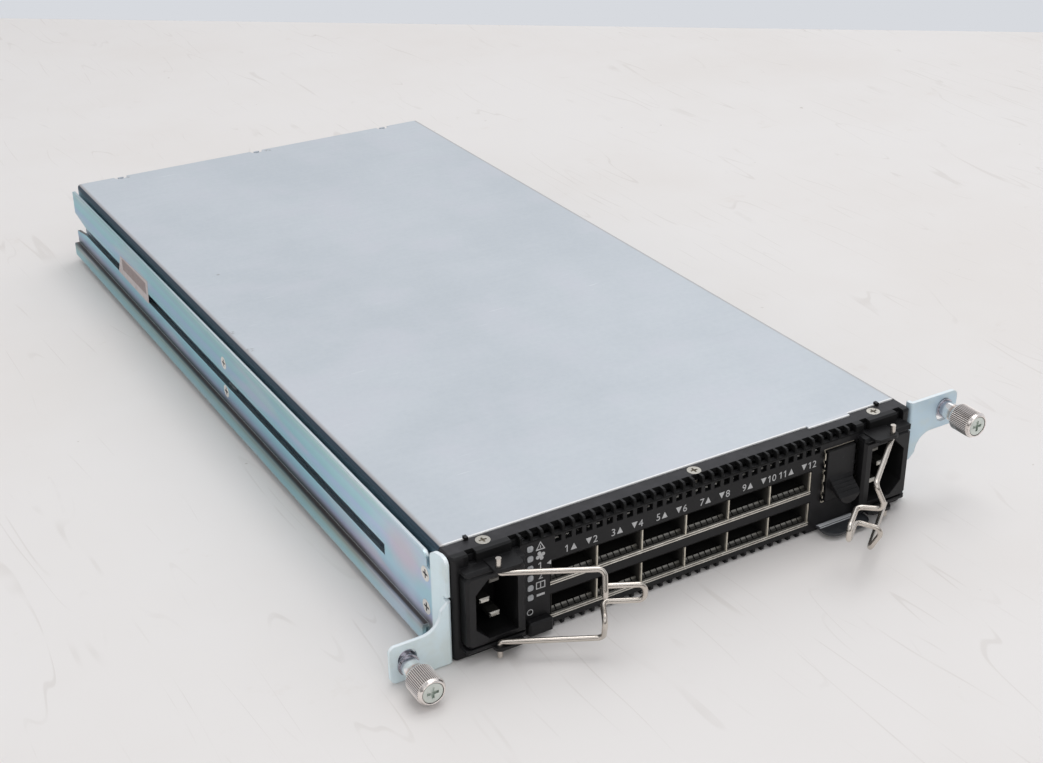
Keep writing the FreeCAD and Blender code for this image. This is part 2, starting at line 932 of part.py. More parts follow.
def service_port_shell():
    y0 = front + bezel_wall
    shell = box(service_x - service_half_width, service_x + service_half_width, y0, y0 + service_depth,
                service_z - service_half_height, service_z + service_half_height)
    wide = service_half_width - service_sheet
    tall = service_half_height - service_sheet
    return shell.cut(box(service_x - wide, service_x + wide, y0 - reach,
                         y0 + service_depth - service_sheet,
                         service_z - tall, service_z + tall))


def service_port_cap():
    head = box(service_x - service_cap_half_width, service_x + service_cap_half_width,
               front - service_cap_proud, front, service_cap_foot, service_cap_top)
    rim = edges_where(head, lambda e: e.CenterOfMass.y < front - fit)
    head = head.makeChamfer(bezel_round, rim)
    wide = service_half_width - service_sheet - fit
    tall = service_half_height - service_sheet - fit
    plug = box(service_x - wide, service_x + wide, front - fit, front + service_plug_depth,
               service_z - tall, service_z + tall)
    return head.fuse(plug).removeSplitter()


def label_tab():
    top = tab_foot + tab_thick
    plate = box(tab_left, tab_right, front - tab_proud, front + tab_inside - tab_proud, tab_foot, top)
    corners = edges_where(plate, lambda e: straight_along(e, V(0, 0, 1)) and e.CenterOfMass.y < front)
    plate = plate.makeFillet(tab_corner, corners)
    ridge = box(tab_left, tab_right, front - tab_ridge_depth * 2, front - tab_ridge_depth,
                top - fit, top + tab_ridge)
    return plate.fuse(ridge).removeSplitter()


def label_tab_guide():
    left = tab_left - fit - guide_wall
    right = tab_right + fit + guide_wall
    guide = box(left, right, guide_front, guide_front + guide_depth, guide_foot, guide_top)
    channel = box(tab_left - fit, tab_right + fit, guide_front - reach, guide_front + guide_depth + reach,
                  tab_foot - fit, tab_foot + tab_thick + fit)
    return guide.cut(channel)


def standoff_places():
    return [
        V(x, front + standoff_first + row * standoff_pitch, board_top - board_thick)
        for row in range(standoff_rows)
        for x in (-standoff_x, standoff_x)
    ]


def main_board():
    board = box(-board_half, board_half, board_front, board_front + board_depth,
                board_top - board_thick, board_top)
    notch = box(-board_half - reach, service_x + service_cap_half_width + reach, board_front - reach,
                board_front + service_notch_depth, 0, body_height)
    return board.cut(notch)


def hexagon(centre, radius, first, second):
    """Corners of a regular hexagon in the plane of two unit directions."""
    corners = []
    for step in range(6):
        angle = math.radians(60 * step + 30)
        corners.append(centre + first * (radius * math.cos(angle)) + second * (radius * math.sin(angle)))
    return corners


def board_standoffs():
    """Six-sided pillars pressed into the tray's floor."""
    height = board_top - board_thick - sheet
    return Part.makeCompound([
        prism(hexagon(V(p.x, p.y, sheet), standoff_radius, V(1, 0, 0), V(0, 1, 0)), V(0, 0, height))
        for p in standoff_places()
    ])


def switch_chip():
    return box(-chip_half, chip_half, chip_y - chip_half, chip_y + chip_half, board_top,
               board_top + chip_thick)


def heat_sink():
    foot = board_top + chip_thick
    y0 = chip_y - sink_half_depth
    y1 = chip_y + sink_half_depth
    sink = box(-sink_half_width, sink_half_width, y0, y1, foot, foot + sink_base)
    pitch = (2 * sink_half_width - sink_fin) / (sink_fins - 1)
    fins = []
    for index in range(sink_fins):
        x = -sink_half_width + index * pitch
        fins.append(box(x, x + sink_fin, y0, y1, foot + sink_base / 2, sink_top))
    return sink.fuse(fins).removeSplitter()


def power_supply(side):
    middle = side * (supply_inner + supply_outer) / 2
    half = (supply_outer - supply_inner) / 2
    body = box(middle - half, middle + half, supply_front, supply_front + supply_depth, supply_foot,
               supply_top)
    return body.makeChamfer(supply_bevel, edges_where(body, lambda e: straight_along(e, V(0, 1, 0))))


def power_sockets():
    """Board sockets that take each supply's output."""
    sockets = []
    for side in (-1, 1):
        middle = side * (supply_inner - fit - socket_width / 2)
        sockets.append(box(middle - socket_width / 2, middle + socket_width / 2,
                           socket_y - socket_half_depth, socket_y + socket_half_depth,
                           board_top, board_top + socket_height))
    return Part.makeCompound(sockets)


def fan_x(index):
    return (index - (fan_count - 1) / 2) * fan_pitch


def fan_frame(index):
    """Square frame with a round bore, closed at the back by a hub on struts."""
    x = fan_x(index)
    y0 = fan_back - fan_depth
    frame = box(x - fan_half, x + fan_half, y0, fan_back, fan_z - fan_half, fan_z + fan_half)
    corners = edges_where(frame, lambda e: straight_along(e, V(0, 1, 0)))
    frame = frame.makeFillet(fan_corner, corners)
    frame = frame.cut(rod(fan_bore, V(x, y0 - reach, fan_z), V(x, fan_back + reach, fan_z)))
    hub = rod(hub_radius, V(x, fan_back - hub_cap, fan_z), V(x, fan_back, fan_z))
    pin = rod(pin_radius, V(x, fan_back - hub_cap - pin_length, fan_z), V(x, fan_back - fit, fan_z))
    struts = []
    for step in range(strut_count):
        strut = box(x - strut_half, x + strut_half, fan_back - hub_cap, fan_back, fan_z,
                    fan_z + fan_bore + fit)
        struts.append(strut.rotate(V(x, 0, fan_z), V(0, 1, 0), step * 360 / strut_count))
    return frame.fuse([hub, pin] + struts).removeSplitter()


def fan_rotor(index):
    """Hub with pitched blades, turning on the frame's pin."""
    x = fan_x(index)
    y1 = fan_back - hub_cap - rotor_gap
    y0 = y1 - rotor_length
    hub = rod(hub_radius, V(x, y0, fan_z), V(x, y1, fan_z))
    blades = []
    for step in range(blade_count):
        blade = box(x - fan_blade_thick / 2, x + fan_blade_thick / 2, (y0 + y1 - fan_blade_chord) / 2,
                    (y0 + y1 + fan_blade_chord) / 2, fan_z + hub_radius / 2, fan_z + fan_blade_tip)
        blade.rotate(V(x, (y0 + y1) / 2, fan_z), V(0, 0, 1), fan_blade_turn)
        blade.rotate(V(x, 0, fan_z), V(0, 1, 0), step * 360 / blade_count)
        blades.append(blade)
    bore = rod(pin_radius + rotor_bore_clearance, V(x, y1 + reach, fan_z),
               V(x, fan_back - hub_cap - pin_length - rotor_gap, fan_z))
    return hub.fuse(blades).cut(bore).removeSplitter()


def ear_plate(low):
    """Flat ear with a sweeping root, in the plane of the front face."""
    def at(x, z):
        return V(x, front, z if low else body_height + high_ear_rise - z)

    root = ear_top + ear_sweep
    neck_x = tab_outer - ear_neck
    bend_x = neck_x - ear_sweep
    diagonal = ear_sweep * math.sqrt(0.5)
    corner = ear_corner * (1 - math.sqrt(0.5))
    edges = [
        Part.makeLine(at(tab_inner, ear_foot), at(ear_outer + ear_corner, ear_foot)),
        Part.Arc(at(ear_outer + ear_corner, ear_foot), at(ear_outer + corner, ear_foot + corner),
                 at(ear_outer, ear_foot + ear_corner)).toShape(),
        Part.makeLine(at(ear_outer, ear_foot + ear_corner), at(ear_outer, ear_top - ear_corner)),
        Part.Arc(at(ear_outer, ear_top - ear_corner), at(ear_outer + corner, ear_top - corner),
                 at(ear_outer + ear_corner, ear_top)).toShape(),
        Part.makeLine(at(ear_outer + ear_corner, ear_top), at(bend_x, ear_top)),
        Part.Arc(at(bend_x, ear_top), at(bend_x + diagonal, root - diagonal),
                 at(neck_x, root)).toShape(),
        Part.makeLine(at(neck_x, root), at(tab_outer, root + ear_neck_rise)),
        Part.makeLine(at(tab_outer, root + ear_neck_rise), at(tab_inner, root + ear_neck_rise)),
        Part.makeLine(at(tab_inner, root + ear_neck_rise), at(tab_inner, ear_foot)),
    ]
    plate = Part.Face(Part.Wire(edges)).extrude(V(0, rail_sheet, 0))
    half = ear_slot_width / 2
    ends = [at(-thumb_x, ear_slot_foot + half), at(-thumb_x, ear_slot_top - half)]
    slot = [rod(half, end - V(0, reach, 0), end + V(0, 2 * rail_sheet, 0)) for end in ends]
    low_end = min(end.z for end in ends)
    high_end = max(end.z for end in ends)
    slot.append(box(-thumb_x - half, -thumb_x + half, front - reach, front + 2 * rail_sheet,
                    low_end, high_end))
    return plate.cut(slot)


def top_corner(y, inward, top, radius):
    """What is cut away to round a corner of the rail's top edge that faces along Y."""
    y_in = y + inward * radius
    block = box(rail_outer - reach, tab_inner + reach, min(y, y_in), max(y, y_in), top - radius, top + reach)
    return block.cut(rod(radius, V(rail_outer - 2 * reach, y_in, top - radius),
                         V(tab_inner + 2 * reach, y_in, top - radius)))


def rail(low_ear):
    """One folded sheet: ear, front tab with a joggle, slotted plate, ledge and lower flange."""
    tab_plan = [
        V(tab_outer, front, 0),
        V(tab_outer, joggle_start, 0),
        V(rail_outer, joggle_end, 0),
        V(rail_outer, plate_front, 0),
        V(rail_inner, plate_front, 0),
        V(rail_inner, joggle_end + joggle_lead, 0),
        V(tab_inner, joggle_start + joggle_lead, 0),
        V(tab_inner, front, 0),
    ]
    top = front_tab_top if low_ear else body_height + high_ear_rise - ear_foot
    front_tab = prism([p + V(0, 0, front_tab_foot) for p in tab_plan], V(0, 0, top - front_tab_foot))
    root = ear_top + ear_sweep + ear_neck_rise
    if low_ear:
        relief_foot = root
        free_end = top + reach
    else:
        relief_foot = body_height + high_ear_rise - root - relief_height
        free_end = front_tab_foot - reach
    relief = box(rail_outer - reach, tab_inner + reach, front - reach, front + relief_depth,
                 relief_foot, relief_foot + relief_height)
    trim_foot = min(relief_foot, free_end)
    trim_top = max(relief_foot, free_end)
    trim = box(rail_outer - reach, tab_inner + reach, front - reach, front + reach, trim_foot, trim_top)
    front_tab = front_tab.cut([relief, trim])
    plate = box(rail_outer, rail_inner, plate_front, rail_rear, rail_ledge - rail_sheet, rail_top)
    track_top = track_foot + track_height
    track_middle = (track_foot + track_top) / 2
    track = box(rail_outer - reach, rail_inner + reach, track_front, rail_rear + reach, track_foot,
                track_top)
    mouth = [
        V(rail_outer - reach, rail_rear - track_flare_depth, track_foot),
        V(rail_outer - reach, rail_rear, track_middle - track_flare),
        V(rail_outer - reach, rail_rear + reach, track_middle - track_flare),
        V(rail_outer - reach, rail_rear + reach, track_middle + track_flare),
        V(rail_outer - reach, rail_rear, track_middle + track_flare),
        V(rail_outer - reach, rail_rear - track_flare_depth, track_top),
    ]
    plate = plate.cut([track, prism(mouth, V(rail_sheet + 2 * reach, 0, 0))])
    flange_outer = rail_outer - rail_step
    ledge = box(flange_outer, rail_inner, ledge_front, rail_rear, rail_ledge - rail_sheet, rail_ledge)
    flange = box(flange_outer, flange_outer + rail_sheet, ledge_front, rail_rear, rail_foot, rail_ledge)
    fold = ledge.fuse(flange).removeSplitter()
    lengthwise = edges_where(fold, lambda e: straight_along(e, V(0, 1, 0)))
    rounded = [
        edge for edge in lengthwise
        if edge.CenterOfMass.x < flange_outer + fit and edge.CenterOfMass.z > rail_ledge - fit
    ]
    fold = fold.makeFillet(ledge_round, rounded)
    whole = ear_plate(low_ear).fuse([front_tab, plate, fold]).removeSplitter()
    slit_end = slit_start + slit_width
    slit = box(rail_outer - reach, tab_inner + reach, slit_start, slit_end, slit_sill, top + reach)
    behind_slit = box(rail_outer - reach, tab_inner + reach, slit_end - fit, plate_front + fit,
                      rail_top, top + reach)
    tab_top = front_tab_top if low_ear else high_tab_top
    tops = [slit, behind_slit, top_corner(slit_end, 1, rail_top, plate_corner_round),
            top_corner(slit_start, -1, tab_top, tab_corner_round)]
    if low_ear:
        tops.append(top_corner(front + reach, 1, front_tab_top, tab_corner_round))
    else:
        tops.append(box(rail_outer - reach, tab_inner + reach, front + relief_depth, slit_end,
                        tab_top, top + reach))
    holes = [
        flat_screw_hole(place, V(-1, 0, 0), rail_head_radius, rail_head_depth, rail_shank_radius,
                        rail_screw_length)
        for place in rail_screw_places(-1)
    ]
    whole = whole.cut(tops + holes)
    upright = edges_where(whole, lambda e: straight_along(e, V(0, 0, 1)))
    bend = [
        edge for edge in upright
        if abs(edge.CenterOfMass.x - tab_inner) < fit and abs(edge.CenterOfMass.y - front) < fit
    ]
    return whole.makeFillet(ear_bend - rail_sheet / 2, bend)


def rail_screws(side):
    out = V(side, 0, 0)
    return Part.makeCompound([
        flat_screw(place, out, rail_head_radius, rail_head_depth, rail_shank_radius, rail_screw_length)
        for place in rail_screw_places(side)
    ])


def rail_spacers(side):
    """Threaded bosses on the tray's wall that hold the rail off the cover's skirt."""
    spacers = []
    for place in rail_screw_places(side):
        start = V(side * -rail_inner, place.y, place.z)
        end = V(side * tray_half, place.y, place.z)
        bore = rod(rail_shank_radius, start, place - V(side * (rail_screw_length + fit), 0, 0))
        spacers.append(rod(spacer_radius, start, end).cut(bore))
    return Part.makeCompound(spacers)


def thumb_axis(side, y):
    return V(side * thumb_x, y, left_thumb_z if side < 0 else right_thumb_z)


def thumbscrew_collar(side):
    """Sleeve held in the ear's slot between a shoulder in front and a flange behind."""
    sleeve_end = front - collar_length
    flange_start = front + rail_sheet + fit
    flange_end = flange_start + collar_flange_length
    collar = rod(collar_radius, thumb_axis(side, sleeve_end), thumb_axis(side, flange_end))
    shoulder = rod(collar_shoulder, thumb_axis(side, front - collar_shoulder_length - fit),
                   thumb_axis(side, front - fit))
    flange = rod(collar_flange, thumb_axis(side, flange_start), thumb_axis(side, flange_end))
    bore = rod(stem_radius + stem_clearance, thumb_axis(side, sleeve_end - reach),
               thumb_axis(side, flange_end + reach))
    return collar.fuse([shoulder, flange]).cut(bore).removeSplitter()


def knob_face():
    return front - collar_length - knob_gap - knob_length


def thumbscrew_knob(side):
    """Head with a straight knurl between two plain rims."""
    face = knob_face()
    back = face + knob_length
    teeth = []
    for step in range(2 * knob_teeth):
        angle = math.pi * step / knob_teeth
        radius = knob_radius - (knob_groove if step % 2 else 0)
        teeth.append(thumb_axis(side, face + knob_rim) + V(radius * math.cos(angle), 0,
                                                           radius * math.sin(angle)))
    knurl = prism(teeth, V(0, knob_length - 2 * knob_rim, 0))
    small = knob_radius - 2 * knob_groove
    front_rim = cone(small - knob_groove, small, thumb_axis(side, face),
                     thumb_axis(side, face + knob_rim))
    back_rim = cone(small, small - knob_groove, thumb_axis(side, back - knob_rim), thumb_axis(side, back))
    recess = rod(knob_recess_radius, thumb_axis(side, face - reach),
                 thumb_axis(side, face + knob_recess_depth))
    bore = rod(stem_radius, thumb_axis(side, face), thumb_axis(side, back + reach))
    return knurl.fuse([front_rim, back_rim]).cut([recess, bore]).removeSplitter()


def thumbscrew_stem(side):
    """Screw whose head sits in the knob's face and whose threaded end stands behind the ear."""
    seat = knob_face() + knob_recess_depth
    head_top = seat - stem_head_height
    head = rod(stem_head_radius, thumb_axis(side, head_top), thumb_axis(side, seat))
    recess = cross_recess(thumb_axis(side, head_top), V(0, -1, 0), V(1, 0, 0),
                          stem_recess_long, stem_recess_wide, stem_recess_depth)
    thread_start = front + rail_sheet + fit + collar_flange_length + knob_gap
    shank = rod(stem_radius, thumb_axis(side, seat), thumb_axis(side, thread_start))
    thread = rod(stem_thread_radius, thumb_axis(side, thread_start),
                 thumb_axis(side, stem_end - stem_tip_bevel))
    tip = cone(stem_thread_radius, stem_thread_radius - stem_tip_bevel,
               thumb_axis(side, stem_end - stem_tip_bevel), thumb_axis(side, stem_end))
    return head.fuse([shank, thread, tip]).cut(recess).removeSplitter()


def rounded_path(points, radii):
    """Straight runs joined by tangent arcs at the inner points."""
    edges = []
    start = points[0]
    for index in range(1, len(points) - 1):
        corner = points[index]
        into = (corner - points[index - 1]).normalize()
        away = (points[index + 1] - corner).normalize()
        turn = into.getAngle(away)
        radius = radii[index - 1]
        run = radius * math.tan(turn / 2)
        inward = (away - into).normalize()
        begin = corner - into * run
        end = corner + away * run
        middle = corner + inward * (radius / math.cos(turn / 2) - radius)
        edges.append(Part.makeLine(start, begin))
        edges.append(Part.Arc(begin, middle, end).toShape())
        start = end
    edges.append(Part.makeLine(start, points[-1]))
    return Part.Wire(edges)


def cord_clip(side, angle):
    """Spring wire bent into two arms, a dipped bar that rests on the plug, and a finger grip."""
    turn = math.radians(angle)
    along = V(math.cos(turn), math.sin(turn), 0)
    across = V(-math.sin(turn), math.cos(turn), 0) * -side
    pivot = V(side * inlet_x, clip_pivot_y, clip_z)
    end = clip_arm + clip_grip_length

    def at(a, n, z):
        return pivot + along * a + across * n + V(0, 0, z)

    points = [
        at(0, 0, clip_tip),
        at(0, 0, clip_half_height),
        at(clip_arm, 0, clip_half_height),
        at(clip_arm, clip_dip, clip_dip_height),
        at(clip_arm, clip_grip_side, clip_grip_half),
        at(end, clip_grip_side, clip_grip_half),
        at(end, clip_grip_side, -clip_grip_half),
        at(clip_arm, clip_grip_side, -clip_grip_half),
        at(clip_arm, clip_dip, -clip_dip_height),
        at(clip_arm, 0, -clip_half_height),
        at(0, 0, -clip_half_height),
        at(0, 0, -clip_tip),
    ]
    inner = [clip_bend] * (len(points) - 4)
    path = rounded_path(points, [clip_pivot_bend] + inner + [clip_pivot_bend])
    section = Part.Face(Part.Wire([Part.makeCircle(clip_wire, points[0], V(0, 0, 1))]))
    return path.makePipe(section)


def parts():
    made = {
        "base_tray": base_tray(),
        "top_cover": top_cover(),
        "rear_panel": rear_panel(),
        "front_panel": front_panel(),
        "front_bezel": front_bezel(),
        "bezel_screws": bezel_screws(),
        "left_inlet": inlet(-1),
        "right_inlet": inlet(1),
        "left_inlet_pins": inlet_pins(-1),
        "right_inlet_pins": inlet_pins(1),
        "left_inlet_leads": inlet_leads(-1),
        "right_inlet_leads": inlet_leads(1),
        "lower_port_cage": port_cage(lower_port_floor, board_top),
        "upper_port_cage": port_cage(upper_port_floor, lower_port_floor + port_height + cage_sheet),
        "lower_port_gasket": port_gasket(lower_port_floor),
        "upper_port_gasket": port_gasket(upper_port_floor),
        "lower_port_connectors": port_connectors(lower_port_floor),
        "upper_port_connectors": port_connectors(upper_port_floor),
        "light_pipes": light_pipes(),
        "reset_button": reset_button(),
        "reset_switch": reset_switch(),
        "management_jack_shield": management_jack_shield(),
        "management_jack": management_jack(),
        "management_jack_cap": management_jack_cap(),
        "service_port_shell": service_port_shell(),
        "service_port_cap": service_port_cap(),
        "label_tab": label_tab(),
        "label_tab_guide": label_tab_guide(),
        "main_board": main_board(),
        "board_standoffs": board_standoffs(),
        "switch_chip": switch_chip(),
        "heat_sink": heat_sink(),
        "left_power_supply": power_supply(-1),
        "right_power_supply": power_supply(1),
        "power_sockets": power_sockets(),
        "left_rail": rail(True),
        "right_rail": mirrored(rail(False)),
        "left_rail_screws": rail_screws(-1),
        "right_rail_screws": rail_screws(1),
        "left_rail_spacers": rail_spacers(-1),
        "right_rail_spacers": rail_spacers(1),
        "left_cord_clip": cord_clip(-1, left_clip_angle),
        "right_cord_clip": cord_clip(1, right_clip_angle),
    }
    for side, name in ((-1, "left"), (1, "right")):
        made[name + "_thumbscrew_collar"] = thumbscrew_collar(side)
        made[name + "_thumbscrew_knob"] = thumbscrew_knob(side)
        made[name + "_thumbscrew_stem"] = thumbscrew_stem(side)
    for index in range(fan_count):
        made["fan_frame_%d" % (index + 1)] = fan_frame(index)
        made["fan_rotor_%d" % (index + 1)] = fan_rotor(index)
    return made


os.makedirs("parts", exist_ok=True)
for name, shape in parts().items():
    shape.exportStep("parts/" + name + ".step")
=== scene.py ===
import math

import bpy
import numpy as np
from mathutils import Matrix, Vector


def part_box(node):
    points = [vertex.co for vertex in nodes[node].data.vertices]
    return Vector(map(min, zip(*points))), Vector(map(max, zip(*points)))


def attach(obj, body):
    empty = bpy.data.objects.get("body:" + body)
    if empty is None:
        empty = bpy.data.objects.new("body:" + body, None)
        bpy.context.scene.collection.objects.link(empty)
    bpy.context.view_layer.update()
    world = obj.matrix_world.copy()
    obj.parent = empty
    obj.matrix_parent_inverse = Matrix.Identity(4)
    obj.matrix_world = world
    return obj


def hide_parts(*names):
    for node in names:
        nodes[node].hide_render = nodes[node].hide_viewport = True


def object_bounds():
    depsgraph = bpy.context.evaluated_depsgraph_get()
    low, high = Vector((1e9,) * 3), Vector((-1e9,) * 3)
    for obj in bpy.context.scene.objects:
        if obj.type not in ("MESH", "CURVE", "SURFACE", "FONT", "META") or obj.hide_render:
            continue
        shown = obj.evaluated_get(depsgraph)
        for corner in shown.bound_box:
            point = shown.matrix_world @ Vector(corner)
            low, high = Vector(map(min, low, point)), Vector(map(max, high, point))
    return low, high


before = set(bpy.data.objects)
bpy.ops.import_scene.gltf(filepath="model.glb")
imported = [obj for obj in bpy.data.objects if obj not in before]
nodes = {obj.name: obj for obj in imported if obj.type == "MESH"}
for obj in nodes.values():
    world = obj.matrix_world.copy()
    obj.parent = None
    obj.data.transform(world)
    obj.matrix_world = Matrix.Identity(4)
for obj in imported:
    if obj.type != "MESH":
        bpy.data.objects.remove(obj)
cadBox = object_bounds()
scene = bpy.context.scene
mm = 0.001
bezelFace = -0.2055  # front face of the bezel
print("frame loaded:", len(nodes), "nodes")


# a new object, linked to the scene
def newObject(name, data):
    made = bpy.data.objects.new(name, data)
    scene.collection.objects.link(made)
    return made


# angles evenly round a full turn
def fullTurn(count):
    return np.linspace(0.0, 2.0 * math.pi, count, endpoint=False)


# x and z of a turned node's axis
def axisOf(node):
    low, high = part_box(node)
    return 0.5 * (low.x + high.x), 0.5 * (low.z + high.z)


class Wire:
    # one socket of a node tree: + - * and / on it add Math nodes
    def __init__(self, tree, socket=None):
        self.tree = tree
        self.socket = socket

    def plug(self, socket, value):
        if isinstance(value, Wire):
            self.tree.links.new(value.socket, socket)
        elif socket.type == "RGBA" and len(value) == 3:
            socket.default_value = (*value, 1.0)
        else:
            socket.default_value = value

    # any node: its settings first, then what goes into its sockets
    def node(self, kind, settings=None, inputs=None, out=0):
        made = self.tree.nodes.new(kind)
        for name, value in (settings or {}).items():
            if name != "stops":
                setattr(made, name, value)
                continue
            stops = made.color_ramp.elements
            stops[0].position, stops[1].position = value[0][0], value[-1][0]
            for place, colour in value[1:-1]:
                stops.new(place)
            for stop, (place, colour) in zip(stops, value):
                stop.color = (*colour, 1.0)
        for name, value in (inputs or {}).items():
            self.plug(made.inputs[name], value)
        return Wire(self.tree, made.outputs[out])

    def sum(self, operation, first, second=0.0):
        return self.node("ShaderNodeMath", {"operation": operation}, {0: first, 1: second})

    def __add__(self, other):
        return self.sum("ADD", self, other)

    def __radd__(self, other):
        return self.sum("ADD", other, self)

    def __sub__(self, other):
        return self.sum("SUBTRACT", self, other)

    def __rsub__(self, other):
        return self.sum("SUBTRACT", other, self)

    def __mul__(self, other):
        return self.sum("MULTIPLY", self, other)

    def __rmul__(self, other):
        return self.sum("MULTIPLY", other, self)

    def __truediv__(self, other):
        return self.sum("DIVIDE", self, other)

    def __abs__(self):
        return self.sum("ABSOLUTE", self)

    def higher(self, other):
        return self.sum("MAXIMUM", self, other)

    # smooth 0 to 1 between two values
    def step(self, low, high):
        return self.node("ShaderNodeMapRange", {"interpolation_type": "SMOOTHSTEP"},
                         {"Value": self, "From Min": low, "From Max": high})

    # up from 0 between the first two values, down again between the last two
    def band(self, start, full, ebb, end):
        return self.step(start, full) * self.step(end, ebb)

    # this socket is the factor between two colours
    def mix(self, first, second):
        return self.node("ShaderNodeMix", {"data_type": "RGBA"}, {0: self, 6: first, 7: second}, 2)

    def ramp(self, stops):
        return self.node("ShaderNodeValToRGB", {"stops": stops}, {0: self})

    def axis(self, name):
        return self.node("ShaderNodeSeparateXYZ", None, {0: self}, name)

    # one part of the true normal: which way a face looks
    def facing(self, name):
        return self.node("ShaderNodeNewGeometry", None, None, "True Normal").axis(name)

    def stretched(self, scale, turn=(0.0, 0.0, 0.0)):
        return self.node("ShaderNodeMapping", None, {"Vector": self, "Scale": scale, "Rotation": turn})

    def cloud(self, scale, detail=3.0, rough=0.5):
        return self.node("ShaderNodeTexNoise", None,
                         {"Vector": self, "Scale": scale, "Detail": detail, "Roughness": rough})

    def cells(self, scale, out="Color"):
        return self.node("ShaderNodeTexVoronoi", None, {"Vector": self, "Scale": scale}, out)

    def away(self, point):
        return self.node("ShaderNodeVectorMath", {"operation": "DISTANCE"},
                         {0: self, 1: point}, "Value")

    # normal rounded over sharp edges
    def rounded(self, radius):
        return self.node("ShaderNodeBevel", {"samples": 4}, {"Radius": radius})

    # 0 on flats, up to 1 on edges: how far the rounded normal leaves the true one
    def edges(self, radius):
        true = self.node("ShaderNodeNewGeometry", None, None, "Normal")
        dot = self.node("ShaderNodeVectorMath", {"operation": "DOT_PRODUCT"},
                        {0: self.rounded(radius), 1: true}, "Value")
        return (1.0 - dot).step(0.01, 0.25)

    def bump(self, strength, distance, normal=None):
        inputs = {"Height": self, "Strength": strength, "Distance": distance}
        if normal:
            inputs["Normal"] = normal
        return self.node("ShaderNodeBump", None, inputs)


# a material whose recipe turns Object coordinates into Principled sockets
def newFinish(name, recipe, coordinates="Object"):
    material = bpy.data.materials.new(name)
    material.use_nodes = True
    tree = material.node_tree
    shader = tree.nodes["Principled BSDF"]
    at = Wire(tree).node("ShaderNodeTexCoord", out=coordinates)
    for socket, value in recipe(at).items():
        at.plug(shader.inputs[socket], value)
    return material


coverSheet = {
    "dark": (0.515, 0.560, 0.605),
    "light": (0.662, 0.698, 0.738),
    "lilac": (0.632, 0.645, 0.702),
    "scuff": (0.80, 0.83, 0.86),
    # painted highlight along the cut front edge
    "lip": (0.95, 0.945, 0.94),
    "smudge": (0.24, 0.22, 0.22),
    # painted shade on the bends down to the skirts
    "bend": (0.34, 0.29, 0.27),
    # painted shade on the skirts, then a paler painted tone low down in the gap
    "skirt": (0.038, 0.070, 0.102),
    "gap": (0.24, 0.38, 0.46),
    "lipY": (-0.1957, -0.1961),
    "tongueX": (0.0557, 0.0560, 0.0760, 0.0763),
    "tongueY": (-0.1972, -0.1976),
    "rimX": (0.0974, 0.0993),
    "rimZ": (0.0405, 0.0414),
    "skirtX": (0.0986, 0.0994),
    "skirtZ": (0.04165, 0.0413),
    "gapZ": (0.0402, 0.0376),
    "smudges": [((-0.0740, 0.2030, 0.0418), 0.0022), ((0.0060, 0.2030, 0.0418), 0.0026),
                ((-0.0972, -0.0257, 0.0418), 0.0024), ((-0.0975, -0.0064, 0.0418), 0.0020),
                ((-0.0800, 0.0550, 0.0418), 0.0012)],
}


# galvanised sheet: soft cloudy zinc with lilac patches, faint rolling lines, fine flecks
# and a few smudges; painted shade darkens the bends towards the skirts, the skirts are painted
# dark as shade and paler low down, and a painted highlight makes the cut front edge bright
def galvanisedRecipe(at):
    clouds = at.cloud(16.0, 4.0, 0.6).step(0.28, 0.72)
    patches = at.cloud(34.0, 3.0, 0.55).step(0.45, 0.7)
    rolled = at.stretched((30.0, 420.0, 420.0)).cloud(1.0, 3.0, 0.6)
    fleck = at.cloud(1400.0, 2.0, 0.6)
    grain = at.cells(420.0, "Distance")
    tone = clouds * 0.40 + rolled * 0.24 + fleck * 0.22 + grain * 0.16
    sheet = tone.mix(coverSheet["dark"], coverSheet["light"])
    sheet = (patches * 0.40).mix(sheet, coverSheet["lilac"])
    scratch = at.stretched((60.0, 900.0, 60.0), (0.0, 0.0, 0.45)).cloud(1.0, 2.0, 0.5)
    scratch = scratch.step(0.69, 0.73)
    worn = at.cloud(30.0, 3.0, 0.6).step(0.52, 0.66)
    sheet = (scratch * worn * 0.45).mix(sheet, coverSheet["scuff"])
    dirt = at.cloud(700.0, 4.0, 0.7).step(0.42, 0.6)
    for place, radius in coverSheet["smudges"]:
        spot = at.away(place).step(radius, radius * 0.3) * dirt
        sheet = (spot * 0.6).mix(sheet, coverSheet["smudge"])
    side, along, height = abs(at.axis("X")), at.axis("Y"), at.axis("Z")
    # painted highlight: a bright line along the cut front edge and along the tongue's front edge
    tongue = at.axis("X").band(*coverSheet["tongueX"])
    lip = along.step(*coverSheet["lipY"]) * (1.0 - 0.85 * tongue)
    lip = lip.higher(along.step(*coverSheet["tongueY"]))
    sheet = (lip * 0.9).mix(sheet, coverSheet["lip"])
    # painted shade where the sheet bends down to the skirts
    rim = side.step(*coverSheet["rimX"]) * height.step(*coverSheet["rimZ"])
    sheet = (rim * 0.70).mix(sheet, coverSheet["bend"])
    # painted shade: the skirts are dark navy, painted paler towards the bottom of the gap
    skirt = side.step(*coverSheet["skirtX"]) * height.step(*coverSheet["skirtZ"])
    gap = height.step(*coverSheet["gapZ"])
    sheet = (skirt * 0.97).mix(sheet, gap.mix(coverSheet["skirt"], coverSheet["gap"]))
    return {
        "Base Color": sheet,
        "Metallic": (0.22 + 0.08 * clouds).higher(skirt * 0.9),
        "Roughness": 0.44 + 0.10 * fleck + 0.06 * clouds,
        "Normal": (fleck * 0.6 + rolled * 0.4).bump(0.04, 0.0002, at.rounded(0.0005)),
    }


# edgeZ is in mm
# the dark and dull colours are painted shade, and the edge colour is for painted glints
panelShade = {"dark": (0.008, 0.008, 0.009), "dull": (0.018, 0.018, 0.019),
              "edge": (0.90, 0.87, 0.80), "edgeZ": (33.8, 34.0, 35.2, 35.4)}
